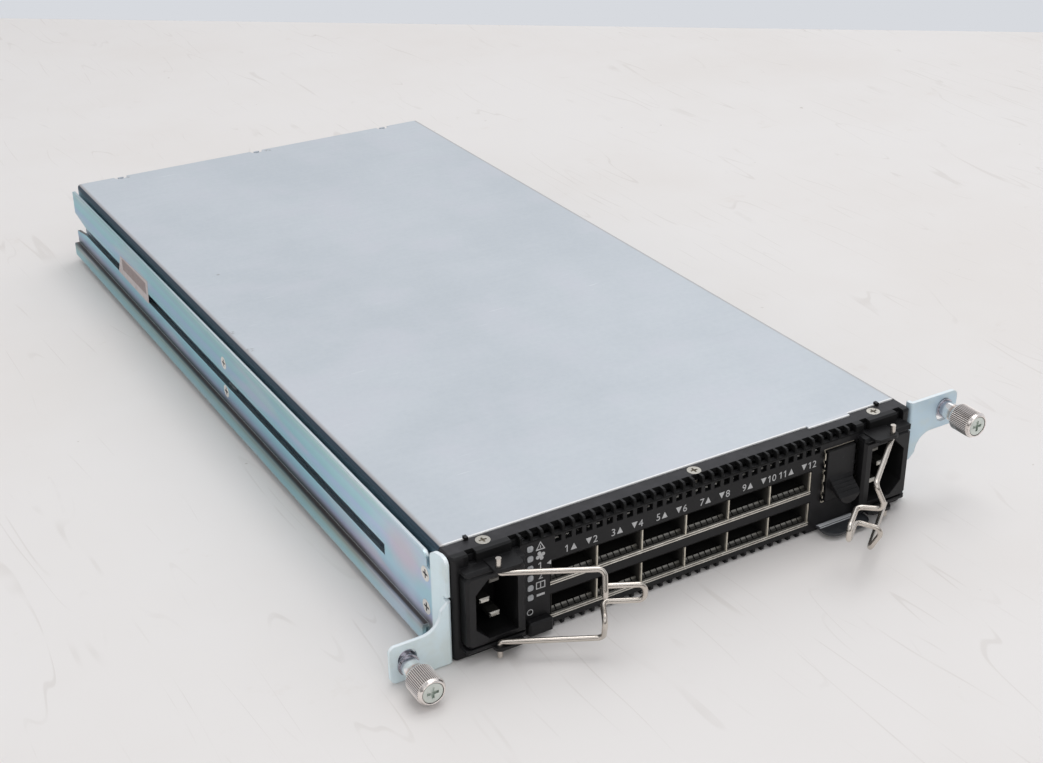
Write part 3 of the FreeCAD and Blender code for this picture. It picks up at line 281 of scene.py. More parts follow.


# the sheet behind the bezel is painted dull and dark as shade; painted glints make its cut edge
# behind the small holes bright in places
def panelRecipe(at):
    clouds = at.cloud(120.0, 4.0, 0.6)
    height = at.axis("Z") / mm
    upward = at.facing("Z").step(0.5, 0.8)
    # painted glints on the cut edge behind the small holes
    scraps = at.stretched((330.0, 1.0, 1.0)).cloud(1.0, 2.0, 0.6).step(0.44, 0.54)
    cut = upward * scraps * height.band(*panelShade["edgeZ"])
    sheet = clouds.step(0.3, 0.7).mix(panelShade["dark"], panelShade["dull"])
    return {
        "Base Color": cut.mix(sheet, panelShade["edge"]),
        "Metallic": 0.2 + 0.2 * clouds,
        "Roughness": 0.50 + 0.1 * clouds,
    }


# places along y are measured from the bezel's face
bezelPlastic = {
    "base": (0.0065, 0.0064, 0.0070), "dusty": (0.020, 0.0195, 0.021), "top": (0.055, 0.053, 0.058),
    # the rubbed colour serves worn edges and painted highlights; deep is painted shade in the vents and
    # the inlets' sockets
    "rubbed": (0.085, 0.085, 0.089), "deep": (0.0012, 0.0012, 0.0013),
    "flangeY": (0.0026, 0.0034), "wallY": (0.0002, 0.0006), "socketY": (-0.0040, -0.0010),
    "ventX": (0.0960, 0.0950), "ventZ": (0.0325, 0.0330), "finZ": (0.0376, 0.0382),
}


# spark-eroded grain, faint dust, and the black that they give
def mouldedBlack(at):
    grain = at.cloud(2600.0, 2.0, 0.6)
    dust = at.cloud(120.0, 5.0, 0.65).step(0.42, 0.75)
    plastic = (dust * 0.55 + grain * 0.3).mix(bezelPlastic["base"], bezelPlastic["dusty"])
    return grain, dust, plastic


# moulded black with paler rubbed edges, partly wear and partly painted highlight; painted shade
# makes the vents' walls and the fins between them darkest
def blackRecipe(at):
    grain, dust, plastic = mouldedBlack(at)
    speck = at.cloud(1100.0, 1.0, 0.5).step(0.74, 0.79)
    upward = at.facing("Z").step(0.4, 0.9)
    depth, height = at.axis("Y") - bezelFace, at.axis("Z")
    behind = depth.step(*bezelPlastic["flangeY"])
    plastic = (upward * behind * (0.45 + 0.5 * dust)).mix(plastic, bezelPlastic["top"])
    plastic = (speck * 0.25).mix(plastic, bezelPlastic["rubbed"])
    vents = height.step(*bezelPlastic["ventZ"]) * abs(at.axis("X")).step(*bezelPlastic["ventX"])
    # rubbed edges: partly wear, partly a painted highlight
    edge = at.edges(0.0005) * at.cloud(300.0, 3.0, 0.6).step(0.3, 0.65)
    plastic = (edge * (0.18 - 0.15 * vents)).mix(plastic, bezelPlastic["rubbed"])
    # painted shade on the vents' walls and the fins between them
    sideways = abs(at.facing("X")).step(0.5, 0.8)
    wall = sideways * vents * depth.step(*bezelPlastic["wallY"])
    wall = wall.higher(vents * height.step(*bezelPlastic["finZ"]) * (0.9 - 0.9 * upward))
    plastic = (wall * 0.9).mix(plastic, bezelPlastic["deep"])
    return {
        "Base Color": plastic,
        "Roughness": 0.40 + 0.14 * dust + 0.06 * grain + 0.35 * wall,
        "Specular IOR Level": 0.28,
        "Normal": grain.bump(0.16, 0.0001, at.rounded(0.0004)),
    }


# the same black, with painted shade darkening it from the inlet's face into its socket
def inletRecipe(at):
    grain, dust, plastic = mouldedBlack(at)
    # painted shade deepening into the socket
    deep = (at.axis("Y") - bezelFace).step(*bezelPlastic["socketY"])
    return {
        "Base Color": (deep * 0.85).mix(plastic, bezelPlastic["deep"]),
        "Roughness": 0.40 + 0.14 * dust + 0.2 * deep,
        "Specular IOR Level": 0.32,
        "Normal": grain.bump(0.16, 0.0001, at.rounded(0.0004)),
    }


# tints: z in mm up the rail's side, and the tint of the zinc there; other heights are in mm too,
# places along x and y in m
railZinc = {
    "tints": [(0.0, (0.56, 0.70, 0.71)), (3.3, (0.52, 0.68, 0.70)), (5.0, (0.40, 0.66, 0.72)),
              # the dark brown stops at 9.0 and 10.6 mm are painted shade on the step
              (7.5, (0.36, 0.52, 0.50)), (9.0, (0.25, 0.27, 0.21)), (10.6, (0.16, 0.12, 0.11)),
              (12.0, (0.30, 0.26, 0.34)), (13.6, (0.40, 0.42, 0.62)), (15.6, (0.36, 0.58, 0.72)),
              (18.6, (0.40, 0.71, 0.82)), (23.8, (0.38, 0.70, 0.78)), (26.5, (0.44, 0.66, 0.84)),
              (29.0, (0.48, 0.63, 0.86)), (31.0, (0.40, 0.71, 0.78)), (33.5, (0.44, 0.74, 0.80)),
              (35.0, (0.46, 0.66, 0.76)), (36.8, (0.44, 0.72, 0.72)), (38.2, (0.60, 0.78, 0.78))],
    # painted shade towards the rail's back
    "shade": (0.01, 0.215, 0.285),
    # pale ear colours, the left one painted lighter than the right as light
    "ears": ((0.80, 0.94, 0.985), (0.58, 0.735, 0.835)),
    "rose": (0.72, 0.56, 0.62),
    "lilac": (0.62, 0.70, 0.86),
    # the crest colour is a painted highlight
    "crest": (0.87, 0.935, 0.965),
    "tinge": (0.66, 0.70, 0.62),
    "blush": (-0.103, -0.0968, 0.0290),
    # painted shade and dark reflection on upward faces below the slot
    "ledge": (0.075, 0.058, 0.048),
    "pale": (0.66, 0.72, 0.76),
    "span": 40.0,
    "blushReach": (0.0115, 0.0020),
    "farY": (-0.170, -0.060),
    "frontY": (-0.110, -0.192),
    "rearY": (-0.02, 0.12),
    "earY": (bezelFace + 0.0100, bezelFace + 0.0088),
    "sideX": (-0.01, 0.01),
    "cornerX": (0.1050, 0.1042),
    "innerX": (0.1026, 0.1023),
    "ledgeZ": (22.0, 18.0),
    "crestZ": (36.0, 37.5),
    "shelfZ": (8.6, 9.2, 10.4, 11.0),
    "upperZ": (20.0, 26.0),
}


# passivated zinc: bands of interference tints up the side, drifting along the length, with painted
# shade towards the back and a lighter lilac near the front that is part tint, part painted light;
# faces that look up below the slot are painted brown as shade and dark reflection, ears are pale with
# the left one painted lighter, painted highlights brighten the edges, and the crest is bright near the
# front
def zincRecipe(at):
    across, along, height = at.axis("X"), at.axis("Y"), at.axis("Z") / mm
    drift = at.stretched((30.0, 5.0, 60.0)).cloud(1.0, 3.0, 0.55) - 0.5
    streak = at.stretched((500.0, 9.0, 900.0)).cloud(1.0, 3.0, 0.6)
    stops = [(z / railZinc["span"], tint) for z, tint in railZinc["tints"]]
    zinc = ((height + drift * 5.0) / railZinc["span"]).ramp(stops)
    # painted shade darkens the rail's back part
    far = along.step(*railZinc["farY"])
    zinc = (far * 0.36).mix(zinc, railZinc["shade"])
    rose = at.stretched((20.0, 14.0, 90.0)).cloud(1.0, 2.0, 0.5).step(0.54, 0.70)
    # near the front the zinc turns lighter and lilac: part tint, part painted light
    nearFront = along.step(*railZinc["frontY"])
    broad = at.stretched((20.0, 38.0, 55.0)).cloud(1.0, 2.0, 0.5).step(0.40, 0.62)
    zinc = (nearFront * (0.25 + 0.45 * broad)).mix(zinc, railZinc["lilac"])
    zinc = (rose * (0.22 + 0.4 * nearFront)).mix(zinc, railZinc["rose"])
    blush = at.stretched((1.0, 0.55, 1.0)).away(railZinc["blush"]).step(*railZinc["blushReach"])
    zinc = (blush * 0.6).mix(zinc, railZinc["rose"])
    upward = at.facing("Z")
    # painted shade and dark reflection on the upward faces below the slot, darkest in the inner corner
    corner = abs(across).step(*railZinc["cornerX"])
    ledge = upward.step(0.5, 0.8) * height.step(*railZinc["ledgeZ"]) * (0.3 + 0.7 * corner)
    zinc = ledge.mix(zinc, railZinc["ledge"])
    outside = along.step(*railZinc["earY"])
    # the ears are pale, the left one painted lighter than the right
    zinc = outside.mix(zinc, across.step(*railZinc["sideX"]).mix(*railZinc["ears"]))
    fleck = at.cloud(900.0, 3.0, 0.6)
    zinc = (streak * 0.06 + fleck * 0.04).mix(zinc, railZinc["pale"])
    tinge = at.cloud(70.0, 3.0, 0.6).step(0.42, 0.66)
    zinc = (tinge * outside * 0.35).mix(zinc, railZinc["tinge"])
    inner = abs(across).step(*railZinc["innerX"])
    rear = along.step(*railZinc["rearY"])
    # painted highlight on upward faces of the crest and of the ears, brightest near the front
    crest = upward.step(0.2, 0.6) * outside.higher(
        height.step(*railZinc["crestZ"]) * inner * (1.0 - 0.25 * far - 0.55 * rear))
    zinc = (crest * 0.9).mix(zinc, railZinc["crest"])
    shelf = height.band(*railZinc["shelfZ"])
    upper = height.step(*railZinc["upperZ"]) * (1.0 - 0.85 * far)
    # painted highlights on the edges, where the metal turns less metallic to show pale
    edge = (at.edges(0.0006) * upper.higher(shelf * 0.4).higher(outside)).higher(crest * 0.8)
    zinc = (edge * 0.9).mix(zinc, railZinc["crest"])
    return {
        "Base Color": zinc,
        "Metallic": (0.70 + 0.1 * fleck - 0.40 * outside - 0.12 * nearFront) * (1.0 - 0.9 * edge),
        "Roughness": 0.28 + 0.12 * fleck + 0.08 * streak,
        "Normal": (fleck * 0.4 + streak * 0.6).bump(0.05, 0.0002, at.rounded(0.0005)),
    }


# bright nickel with fine tool marks; tint and gloss as given
def nickelRecipe(tint, dull, rough, tool):
    def recipe(at):
        marks = at.stretched(tool).cloud(1.0, 3.0, 0.6)
        stain = at.cloud(240.0, 4.0, 0.6).step(0.35, 0.75)
        metal = (stain * 0.5 + marks * 0.3).mix(tint, dull)
        return {
            "Base Color": metal,
            "Metallic": 0.92 + 0.05 * stain,
            "Roughness": rough + 0.10 * stain + 0.06 * marks,
            "Normal": marks.bump(0.04, 0.0001, at.rounded(0.0002)),
        }
    return recipe


# depths behind the bezel's face and heights are in mm, places along x in m
cageMouth = {
    # the near black colour is painted shade
    "bright": (0.74, 0.69, 0.59), "dark": (0.010, 0.0095, 0.009), "stain": (0.22, 0.20, 0.155),
    "inside": (0.45, 1.3), "back": (1.3, 5.0),
    "upperRoof": (27.3, 27.7, 28.6, 29.0), "lowerRoof": (13.6, 14.0, 15.0, 15.4),
    "leftEnd": (-0.0612, -0.0615), "rightEnd": (0.0722, 0.0727),
}


# cages: bright cut edges at the mouth, painted near black behind as shade; painted shade also
# darkens the roofs of both rows and the outer ends
def cageRecipe(at):
    depth = (at.axis("Y") - bezelFace) / mm
    height = at.axis("Z") / mm
    marks = at.stretched((300.0, 60.0, 900.0)).cloud(1.0, 3.0, 0.6)
    stain = at.cloud(400.0, 4.0, 0.6).step(0.35, 0.75)
    metal = (stain * 0.3 + marks * 0.15).mix(cageMouth["bright"], cageMouth["stain"])
    inside = depth.step(*cageMouth["inside"])
    roof = height.band(*cageMouth["upperRoof"]).higher(height.band(*cageMouth["lowerRoof"]))
    across = at.axis("X")
    ends = across.step(*cageMouth["leftEnd"]).higher(across.step(*cageMouth["rightEnd"]))
    # painted shade inside the cages, on the roofs and at the outer ends
    dark = roof.higher(ends).higher(inside * 0.93 + depth.step(*cageMouth["back"]) * 0.06)
    metal = dark.mix(metal, cageMouth["dark"])
    return {
        "Base Color": metal,
        "Metallic": 0.85 - 0.6 * inside,
        "Roughness": 0.28 + 0.10 * stain + 0.06 * marks + 0.3 * inside,
        "Normal": marks.bump(0.05, 0.0001, at.rounded(0.0002)),
    }


# depths behind the bezel's face and heights are in mm
gasketLip = {
    # the dull colour serves the dark seams and the painted shade at the fingers' roots
    "bright": (0.82, 0.79, 0.72), "stain": (0.40, 0.36, 0.29), "dull": (0.040, 0.038, 0.034),
    # the colour over the fingers' crowns is a painted highlight
    "crown": (0.36, 0.345, 0.31), "seams": (5.06, 18.76), "seam": 0.36,
    "root": (0.5, 1.2), "crownY": (2.0, 2.7, 3.2, 4.0), "tip": (3.6, 5.0),
}


# gaskets: a bright lip with a dark seam along it, fingers dark at the root with painted shade
# and paler over their crowns with a painted highlight
def gasketRecipe(at):
    depth = (at.axis("Y") - bezelFace) / mm
    height = at.axis("Z") / mm
    stain = at.cloud(400.0, 4.0, 0.6).step(0.35, 0.75)
    metal = (stain * 0.35).mix(gasketLip["bright"], gasketLip["stain"])
    for place in gasketLip["seams"]:
        seam = abs(height - place).step(gasketLip["seam"], gasketLip["seam"] * 0.5)
        metal = (seam * (0.70 + 0.28 * stain)).mix(metal, gasketLip["dull"])
    # painted shade on the fingers from their roots in
    metal = depth.step(*gasketLip["root"]).mix(metal, gasketLip["dull"])
    # painted highlight over the fingers' crowns
    crown = depth.band(*gasketLip["crownY"])
    metal = (crown * (0.65 + 0.35 * stain)).mix(metal, gasketLip["crown"])
    return {
        "Base Color": metal,
        "Metallic": 0.80 - 0.3 * depth.step(*gasketLip["tip"]),
        "Roughness": 0.26 + 0.12 * stain,
        "Normal": stain.bump(0.04, 0.0001),
    }


# deepY is in mm behind the bezel's face
# the dark colour is painted shade
bladeMetal = {"bright": (0.72, 0.70, 0.64), "dull": (0.55, 0.53, 0.48), "dark": (0.012, 0.011, 0.010),
              "deepY": (0.6, 5.0), "flank": (-0.6, -0.2), "shadeZ": (0.0245, 0.0265)}


# inlet blades: bright tips; painted shade darkens their flanks, the blades above and the parts further
# into the socket
def bladeRecipe(at):
    marks = at.stretched((200.0, 900.0, 900.0)).cloud(1.0, 3.0, 0.6)
    stain = at.cloud(240.0, 4.0, 0.6).step(0.35, 0.75)
    deep = ((at.axis("Y") - bezelFace) / mm).step(*bladeMetal["deepY"])
    metal = (stain * 0.5 + marks * 0.3).mix(bladeMetal["bright"], bladeMetal["dull"])
    flank = at.facing("Y").step(*bladeMetal["flank"])
    shade = at.axis("Z").step(*bladeMetal["shadeZ"])
    # painted shade on the flanks, on the blades above and deeper in the socket
    deep = deep.higher(flank * 0.97).higher(shade * 0.75)
    return {
        "Base Color": (deep * 0.97).mix(metal, bladeMetal["dark"]),
        "Metallic": 0.92 - 0.3 * deep,
        "Roughness": 0.24 + 0.10 * stain + 0.25 * deep,
        "Normal": marks.bump(0.04, 0.0001, at.rounded(0.0002)),
    }


# stops: mm from the knob's end to the ear, and the painted reflection and shade on the collar there
collarTones = {
    "stops": [(0.0, (0.42, 0.33, 0.29)), (1.6, (0.62, 0.52, 0.46)), (2.6, (0.97, 0.96, 0.95)),
              (4.2, (0.94, 0.93, 0.94)), (5.2, (0.42, 0.41, 0.46)), (7.0, (0.52, 0.51, 0.56))],
    "length": 7.0, "mark": (0.60, 0.57, 0.55),
}


# polished collars with painted reflections: brownish where they meet the knob, a bright painted
# highlight ring, and painted shade by the ear
def collarRecipe(at):
    marks = at.stretched((700.0, 60.0, 700.0)).cloud(1.0, 3.0, 0.6)
    along = ((at.axis("Y") - bezelFace) / mm + collarTones["length"]) / collarTones["length"]
    stops = [(place / collarTones["length"], tone) for place, tone in collarTones["stops"]]
    return {
        "Base Color": (marks * 0.15).mix((along + marks * 0.1).ramp(stops), collarTones["mark"]),
        "Metallic": 0.94 + 0.03 * marks,
        "Roughness": 0.05 + 0.06 * marks,
        "Normal": marks.bump(0.03, 0.0001, at.rounded(0.0002)),
    }


clipWire = {"bright": (0.66, 0.61, 0.555), "brown": (0.52, 0.465, 0.41)}


# round wire: smooth nickel, a little brownish stain
def wireRecipe(at):
    stain = at.cloud(60.0, 3.0, 0.5).step(0.35, 0.75)
    fine = at.cloud(500.0, 2.0, 0.5)
    return {
        "Base Color": (stain * 0.5 + fine * 0.12).mix(clipWire["bright"], clipWire["brown"]),
        "Metallic": 0.92 + 0.05 * stain,
        "Roughness": 0.19 + 0.05 * stain + 0.02 * fine,
    }


tabPlastic = {
    "first": (0.030, 0.032, 0.036), "second": (0.048, 0.050, 0.055), "band": (0.74, 0.75, 0.77),
    "x": (0.05615, 0.05645, 0.07365, 0.07395), "y": (-0.20865, -0.20835, -0.20595, -0.20565),
}


# smoky plastic tab with one pale band across its top
def tabRecipe(at):
    mottle = at.cloud(600.0, 4.0, 0.6)
    upward = at.facing("Z").step(0.5, 0.8)
    band = at.axis("X").band(*tabPlastic["x"]) * at.axis("Y").band(*tabPlastic["y"]) * upward
    plastic = mottle.step(0.3, 0.7).mix(tabPlastic["first"], tabPlastic["second"])
    return {
        "Base Color": (band * 0.9).mix(plastic, tabPlastic["band"]),
        "Roughness": 0.36 + 0.14 * mottle,
        "Normal": at.cloud(2400.0, 2.0, 0.5).bump(0.10, 0.0001, at.rounded(0.0003)),
    }


# plain moulded or sleeved plastics: two close colours, a little grain
def plasticRecipe(first, second, rough, scale=600.0):
    def recipe(at):
        mottle = at.cloud(scale, 4.0, 0.6)
        return {
            "Base Color": mottle.step(0.3, 0.7).mix(first, second),
            "Roughness": rough + 0.14 * mottle,
            "Normal": at.cloud(scale * 4.0, 2.0, 0.5).bump(0.10, 0.0001),
        }
    return recipe


lightWindow = {"dim": (0.30, 0.31, 0.32), "pale": (0.44, 0.45, 0.46)}


# frosted light windows: two close greys under a milky skin
def windowRecipe(at):
    milk = at.cloud(900.0, 3.0, 0.6)
    return {
        "Base Color": milk.step(0.3, 0.7).mix(lightWindow["dim"], lightWindow["pale"]),
        "Roughness": 0.34 + 0.12 * milk,
        "Coat Weight": 0.15,
        "Normal": milk.bump(0.08, 0.0002),
    }


boardMask = {"dark": (0.010, 0.060, 0.032), "green": (0.016, 0.085, 0.045),
             "trace": (0.03, 0.14, 0.08), "pad": (0.55, 0.52, 0.44)}


# green board: traces as thin lines between cells, bare pads as dots
def boardRecipe(at):
    lines = at.stretched((260.0, 260.0, 1.0)).node(
        "ShaderNodeTexBrick", {"offset": 0.5},
        {"Scale": 1.0, "Mortar Size": 0.06, "Mortar Smooth": 0.2}, 1)
    pads = at.cells(300.0, "Distance").step(0.14, 0.10)
    weave = at.cloud(1600.0, 2.0, 0.5)
    mask = weave.mix(boardMask["dark"], boardMask["green"])
    mask = (lines * 0.5).mix(mask, boardMask["trace"])
    return {
        "Base Color": (pads * 0.8).mix(mask, boardMask["pad"]),
        "Metallic": 0.7 * pads,
        "Roughness": 0.30 + 0.2 * weave,
        "Normal": lines.bump(0.2, 0.0001),
    }


finishes = {
    "galvanised_sheet": newFinish("galvanisedSheet", galvanisedRecipe),
    "black_plastic": newFinish("blackPlastic", blackRecipe),
    "screw_nickel": newFinish("screwNickel", nickelRecipe(
        (0.70, 0.67, 0.60), (0.52, 0.49, 0.44), 0.26, (900.0, 900.0, 900.0))),
    "blade_nickel": newFinish("bladeNickel", bladeRecipe),
    "lead_sleeve": newFinish("leadSleeve", plasticRecipe(
        (0.02, 0.02, 0.022), (0.035, 0.035, 0.036), 0.5)),
    "cage_nickel": newFinish("cageNickel", cageRecipe),
    "connector_plastic": newFinish("connectorPlastic", plasticRecipe(
        (0.010, 0.010, 0.011), (0.018, 0.018, 0.019), 0.45)),
    "light_window": newFinish("lightWindow", windowRecipe),
    "button_plastic": newFinish("buttonPlastic", plasticRecipe(
        (0.02, 0.02, 0.02), (0.035, 0.035, 0.035), 0.4)),
    "tab_plastic": newFinish("tabPlastic", tabRecipe),
    "board_laminate": newFinish("boardLaminate", boardRecipe),
    "spacer_steel": newFinish("spacerSteel", nickelRecipe(
        (0.56, 0.56, 0.55), (0.40, 0.40, 0.40), 0.30, (700.0, 700.0, 60.0))),
    "chip_body": newFinish("chipBody", plasticRecipe(
        (0.02, 0.02, 0.021), (0.034, 0.034, 0.036), 0.5, 1500.0)),
    "sink_aluminium": newFinish("sinkAluminium", nickelRecipe(
        (0.62, 0.63, 0.64), (0.48, 0.49, 0.50), 0.36, (900.0, 40.0, 900.0))),
    "supply_case": newFinish("supplyCase", nickelRecipe(
        (0.50, 0.52, 0.54), (0.38, 0.40, 0.42), 0.42, (60.0, 600.0, 600.0))),
    "zinc_rail": newFinish("zincRail", zincRecipe),
    "clip_wire": newFinish("clipWire", wireRecipe),
    "fan_plastic": newFinish("fanPlastic", plasticRecipe(
        (0.012, 0.012, 0.013), (0.024, 0.024, 0.025), 0.42)),
}
panelFinish = newFinish("panelShade", panelRecipe)
inletFinish = newFinish("inletPlastic", inletRecipe)
gasketFinish = newFinish("gasketNickel", gasketRecipe)
stemFinish = newFinish("stemZinc", nickelRecipe(
    (0.74, 0.79, 0.74), (0.54, 0.58, 0.55), 0.24, (700.0, 700.0, 700.0)))
collarFinish = newFinish("collarNickel", collarRecipe)

for node in nodes.values():
    for place in node.material_slots:
        place.material = finishes[place.material.name.split(".")[0]]
for side in ("left", "right"):
    nodes[side + "_thumbscrew_stem"].material_slots[0].material = stemFinish
    nodes[side + "_thumbscrew_collar"].material_slots[0].material = collarFinish
    nodes[side + "_inlet"].material_slots[0].material = inletFinish
nodes["front_panel"].material_slots[0].material = panelFinish
for row in ("lower", "upper"):
    nodes[row + "_port_gasket"].material_slots[0].material = gasketFinish
print("finishes given:", len(finishes))


# a mesh object at the origin from vertex and face arrays, riding on a body
def addPiece(name, points, faces, finish, body, uv=None):
    mesh = bpy.data.meshes.new(name)
    mesh.from_pydata(points.tolist(), [], faces.tolist())
    if uv is not None:
        layer = mesh.uv_layers.new(name="place")
        corners = np.empty(len(mesh.loops), int)
        mesh.loops.foreach_get("vertex_index", corners)
        layer.data.foreach_set("uv", uv[corners].ravel())
    mesh.validate()
    mesh.materials.append(finish)
    piece = newObject(name, mesh)
    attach(piece, body)
    return piece


# quads of a grid of rows x columns, columns closed into a ring, rows too if looped
def ringFaces(rows, columns, start=0, looped=False):
    row, column = np.meshgrid(np.arange(rows if looped else rows - 1), np.arange(columns),
                              indexing="ij")
    after = (column + 1) % columns
    above = (row + 1) % rows
    quads = np.stack([row * columns + column, row * columns + after,
                      above * columns + after, above * columns + column], -1)
    return quads.reshape(-1, 4) + start


# many copies of one ring grid joined into one pair of arrays
def gather(grids):
    points, faces, start = [], [], 0
    for grid in grids:
        rows, columns, _ = grid.shape
        points.append(grid.reshape(-1, 3))
        faces.append(ringFaces(rows, columns, start))
        start += rows * columns
    return np.concatenate(points), np.concatenate(faces)


# points evenly along a closed outline of corners
def alongOutline(corners, count):
    corners = np.asarray(corners, float)
    loop = np.concatenate([corners, corners[:1]])
    run = np.concatenate([[0.0], np.cumsum(np.hypot(*np.diff(loop, axis=0).T))])
    at = np.sort(np.concatenate([run[:-1], np.linspace(0.0, run[-1], count, endpoint=False)[1:]]))
    return np.stack([np.interp(at, run, loop[:, 0]), np.interp(at, run, loop[:, 1])], -1)


# capShare is the height of a figure beside the font's size; page, bar and dash are half sizes
printMarks = {
    "proud": 0.03, "sunk": 0.05, "numberHeight": 2.85, "capShare": 0.70, "labelZ": 30.9, "pitch": 19.0,
    "upX": 4.5, "downX": 10.6, "triangle": 2.5, "gap": 0.45,
    "ring": (1.25, 0.95), "ringPlace": (-70.2, 9.7),
    "iconX": -65.9, "lightTop": 35.5, "lightPitch": 3.96, "flag": 0.62, "arrowX": -62.5,
    "arrow": [(-1.0, 0.0), (0.9, -1.0), (0.9, 1.0)],
    "warning": [(-1.9, -1.55), (1.9, -1.55), (0.0, 1.85)],
    "page": (1.85, 1.45), "bar": (0.17, 1.2), "dash": (1.6, 0.45),
}


# a printed mark: outer outline at the back, then the front, then the inner outline of the front
def markGrid(outer, inner, x, z):
    outer, inner = np.asarray(outer), np.asarray(inner)
    back = bezelFace + printMarks["sunk"] * mm
    face = bezelFace - printMarks["proud"] * mm
    rows = [np.column_stack([(x + loop[:, 0]) * mm, np.full(len(loop), y), (z + loop[:, 1]) * mm])
            for loop, y in ((outer, back), (outer, face), (inner, face), (inner, back))]
    return np.stack(rows)


def circle(radius, count=28):
    turn = fullTurn(count)
    return radius * np.column_stack([np.cos(turn), np.sin(turn)])


# four-bladed outline: the radius swells four times round
def petals(radius, count=48):
    turn = fullTurn(count)
    reach = radius * (0.34 + 0.66 * np.abs(np.cos(2.0 * turn)) ** 0.6)
    return np.column_stack([reach * np.cos(turn + 0.4), reach * np.sin(turn + 0.4)])


# corners of an oblong from its half sizes
def oblong(across, up):
    return np.array([(-across, -up), (across, -up), (across, up), (-across, up)])


# a solid mark has an inner outline shrunk almost to a point
def solidMark(outline, x, z):
    return markGrid(outline, outline * 0.001 + outline.mean(0) * 0.999, x, z)


def printGrids():
    size = printMarks["triangle"]
    up = alongOutline([(-size / 2, -size / 2), (size / 2, -size / 2), (0.0, size / 2)], 9)
    arrow = alongOutline(printMarks["arrow"], 9)
    warn = np.array(printMarks["warning"])
    page, bar, dash = (oblong(*printMarks[name]) for name in ("page", "bar", "dash"))
    grids = []
    for column in range(-3, 3):
        shift = column * printMarks["pitch"]
        grids.append(solidMark(up, printMarks["upX"] + shift, printMarks["labelZ"]))
        grids.append(solidMark(up * (1.0, -1.0), printMarks["downX"] + shift, printMarks["labelZ"]))
    x, top, drop = printMarks["iconX"], printMarks["lightTop"], printMarks["lightPitch"]
    grids.append(markGrid(alongOutline(warn, 24), alongOutline(warn * 0.68 + (0.0, -0.05), 24),
                          x, top))
    grids.append(solidMark(bar * (0.9, 0.45), x, top - 0.3))
    grids.append(solidMark(petals(1.9), x, top - drop))
    for row in (2, 3):
        grids.append(solidMark(arrow * (0.9, 0.9), printMarks["arrowX"], top - row * drop))
    grids.append(markGrid(alongOutline(page, 24), alongOutline(page * (0.80, 0.74), 24),
                          x, top - 4 * drop))
    grids.append(solidMark(bar, x, top - 4 * drop))
    grids.append(solidMark(dash, x, top - 5 * drop))
    outer, inner = printMarks["ring"]
    grids.append(markGrid(circle(outer), circle(inner), *printMarks["ringPlace"]))
    return grids


# numbers: font outlines made meshes, then stood up on the bezel's face
def numberMeshes():
    labels = []
    reach = printMarks["triangle"] / 2 + printMarks["gap"]
    for column in range(-3, 3):
        shift = column * printMarks["pitch"]
        odd = 2 * (column + 3) + 1
        labels.append((str(odd), printMarks["upX"] + shift - reach, "RIGHT", printMarks["labelZ"]))
        labels.append((str(odd + 1), printMarks["downX"] + shift + reach, "LEFT", printMarks["labelZ"]))
    for row in (2, 3):
        labels.append((str(row - 1), printMarks["iconX"], "CENTER",
                       printMarks["lightTop"] - row * printMarks["lightPitch"]))
    made = []
    for words, x, align, z in labels:
        flag = printMarks["flag"] if words[0] == "1" and align == "LEFT" else 0.0
        curve = bpy.data.curves.new("number", "FONT")
        curve.body = words
        curve.align_x = align
        curve.size = printMarks["numberHeight"] / printMarks["capShare"] * mm
        curve.extrude = 0.5 * (printMarks["proud"] + printMarks["sunk"]) * mm
        curve.resolution_u = 3
        holder = newObject("number", curve)
        bpy.context.view_layer.update()
        ready = holder.evaluated_get(bpy.context.evaluated_depsgraph_get())
        mesh = bpy.data.meshes.new_from_object(ready)
        bpy.data.objects.remove(holder)
        bpy.data.curves.remove(curve)
        stand = Matrix.Rotation(math.pi / 2, 4, "X")
        middle = bezelFace + 0.5 * (printMarks["sunk"] - printMarks["proud"]) * mm
        foot = z - printMarks["numberHeight"] / 2
        lift = Matrix.Translation(((x + flag * 0.3) * mm, middle, foot * mm))
        mesh.transform(lift @ stand)
        made.append((words, mesh))
    return made


def meshArrays(mesh):
    points = np.empty(len(mesh.vertices) * 3)
    mesh.vertices.foreach_get("co", points)
    return points.reshape(-1, 3), [list(p.vertices) for p in mesh.polygons]


# short slanted strokes at the top left of each 1, whose bar is the narrowest figure
def flagGrids(words, points, bar):
    reach = printMarks["flag"]
    outline = alongOutline([(-reach, -0.95), (0.05, -0.45), (0.05, 0.0), (-reach, -0.50)], 12)
    low, high = points.min(0) / mm, points.max(0) / mm
    starts = [low[0]] if words[0] == "1" else []
    if words == "11":
        starts.append(high[0] - bar)
    return [solidMark(outline, start, high[2]) for start in starts]


printFinish = newFinish("printInk", plasticRecipe((0.42, 0.42, 0.42), (0.55, 0.55, 0.55), 0.5, 1500.0))
markGrids = printGrids()
numberPoints, numberFaces, count = [], [], 0
for words, mesh in numberMeshes():
    points, faces = meshArrays(mesh)
    if words == "1":
        bar = np.ptp(points[:, 0]) / mm
    markGrids += flagGrids(words, points, bar)
    numberPoints.append(points)
    numberFaces += [[v + count for v in face] for face in faces]
    count += len(points)
    bpy.data.meshes.remove(mesh)
inkPoints, inkFaces = gather(markGrids)
addPiece("printed_marks", inkPoints, inkFaces, printFinish, "chassis")
numberSheet = bpy.data.meshes.new("port_numbers")
numberSheet.from_pydata(np.concatenate(numberPoints).tolist(), [], numberFaces)
numberSheet.materials.append(printFinish)
numberPiece = newObject("port_numbers", numberSheet)
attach(numberPiece, "chassis")
print("print made:", len(inkFaces), "mark faces,", len(numberFaces), "number faces")


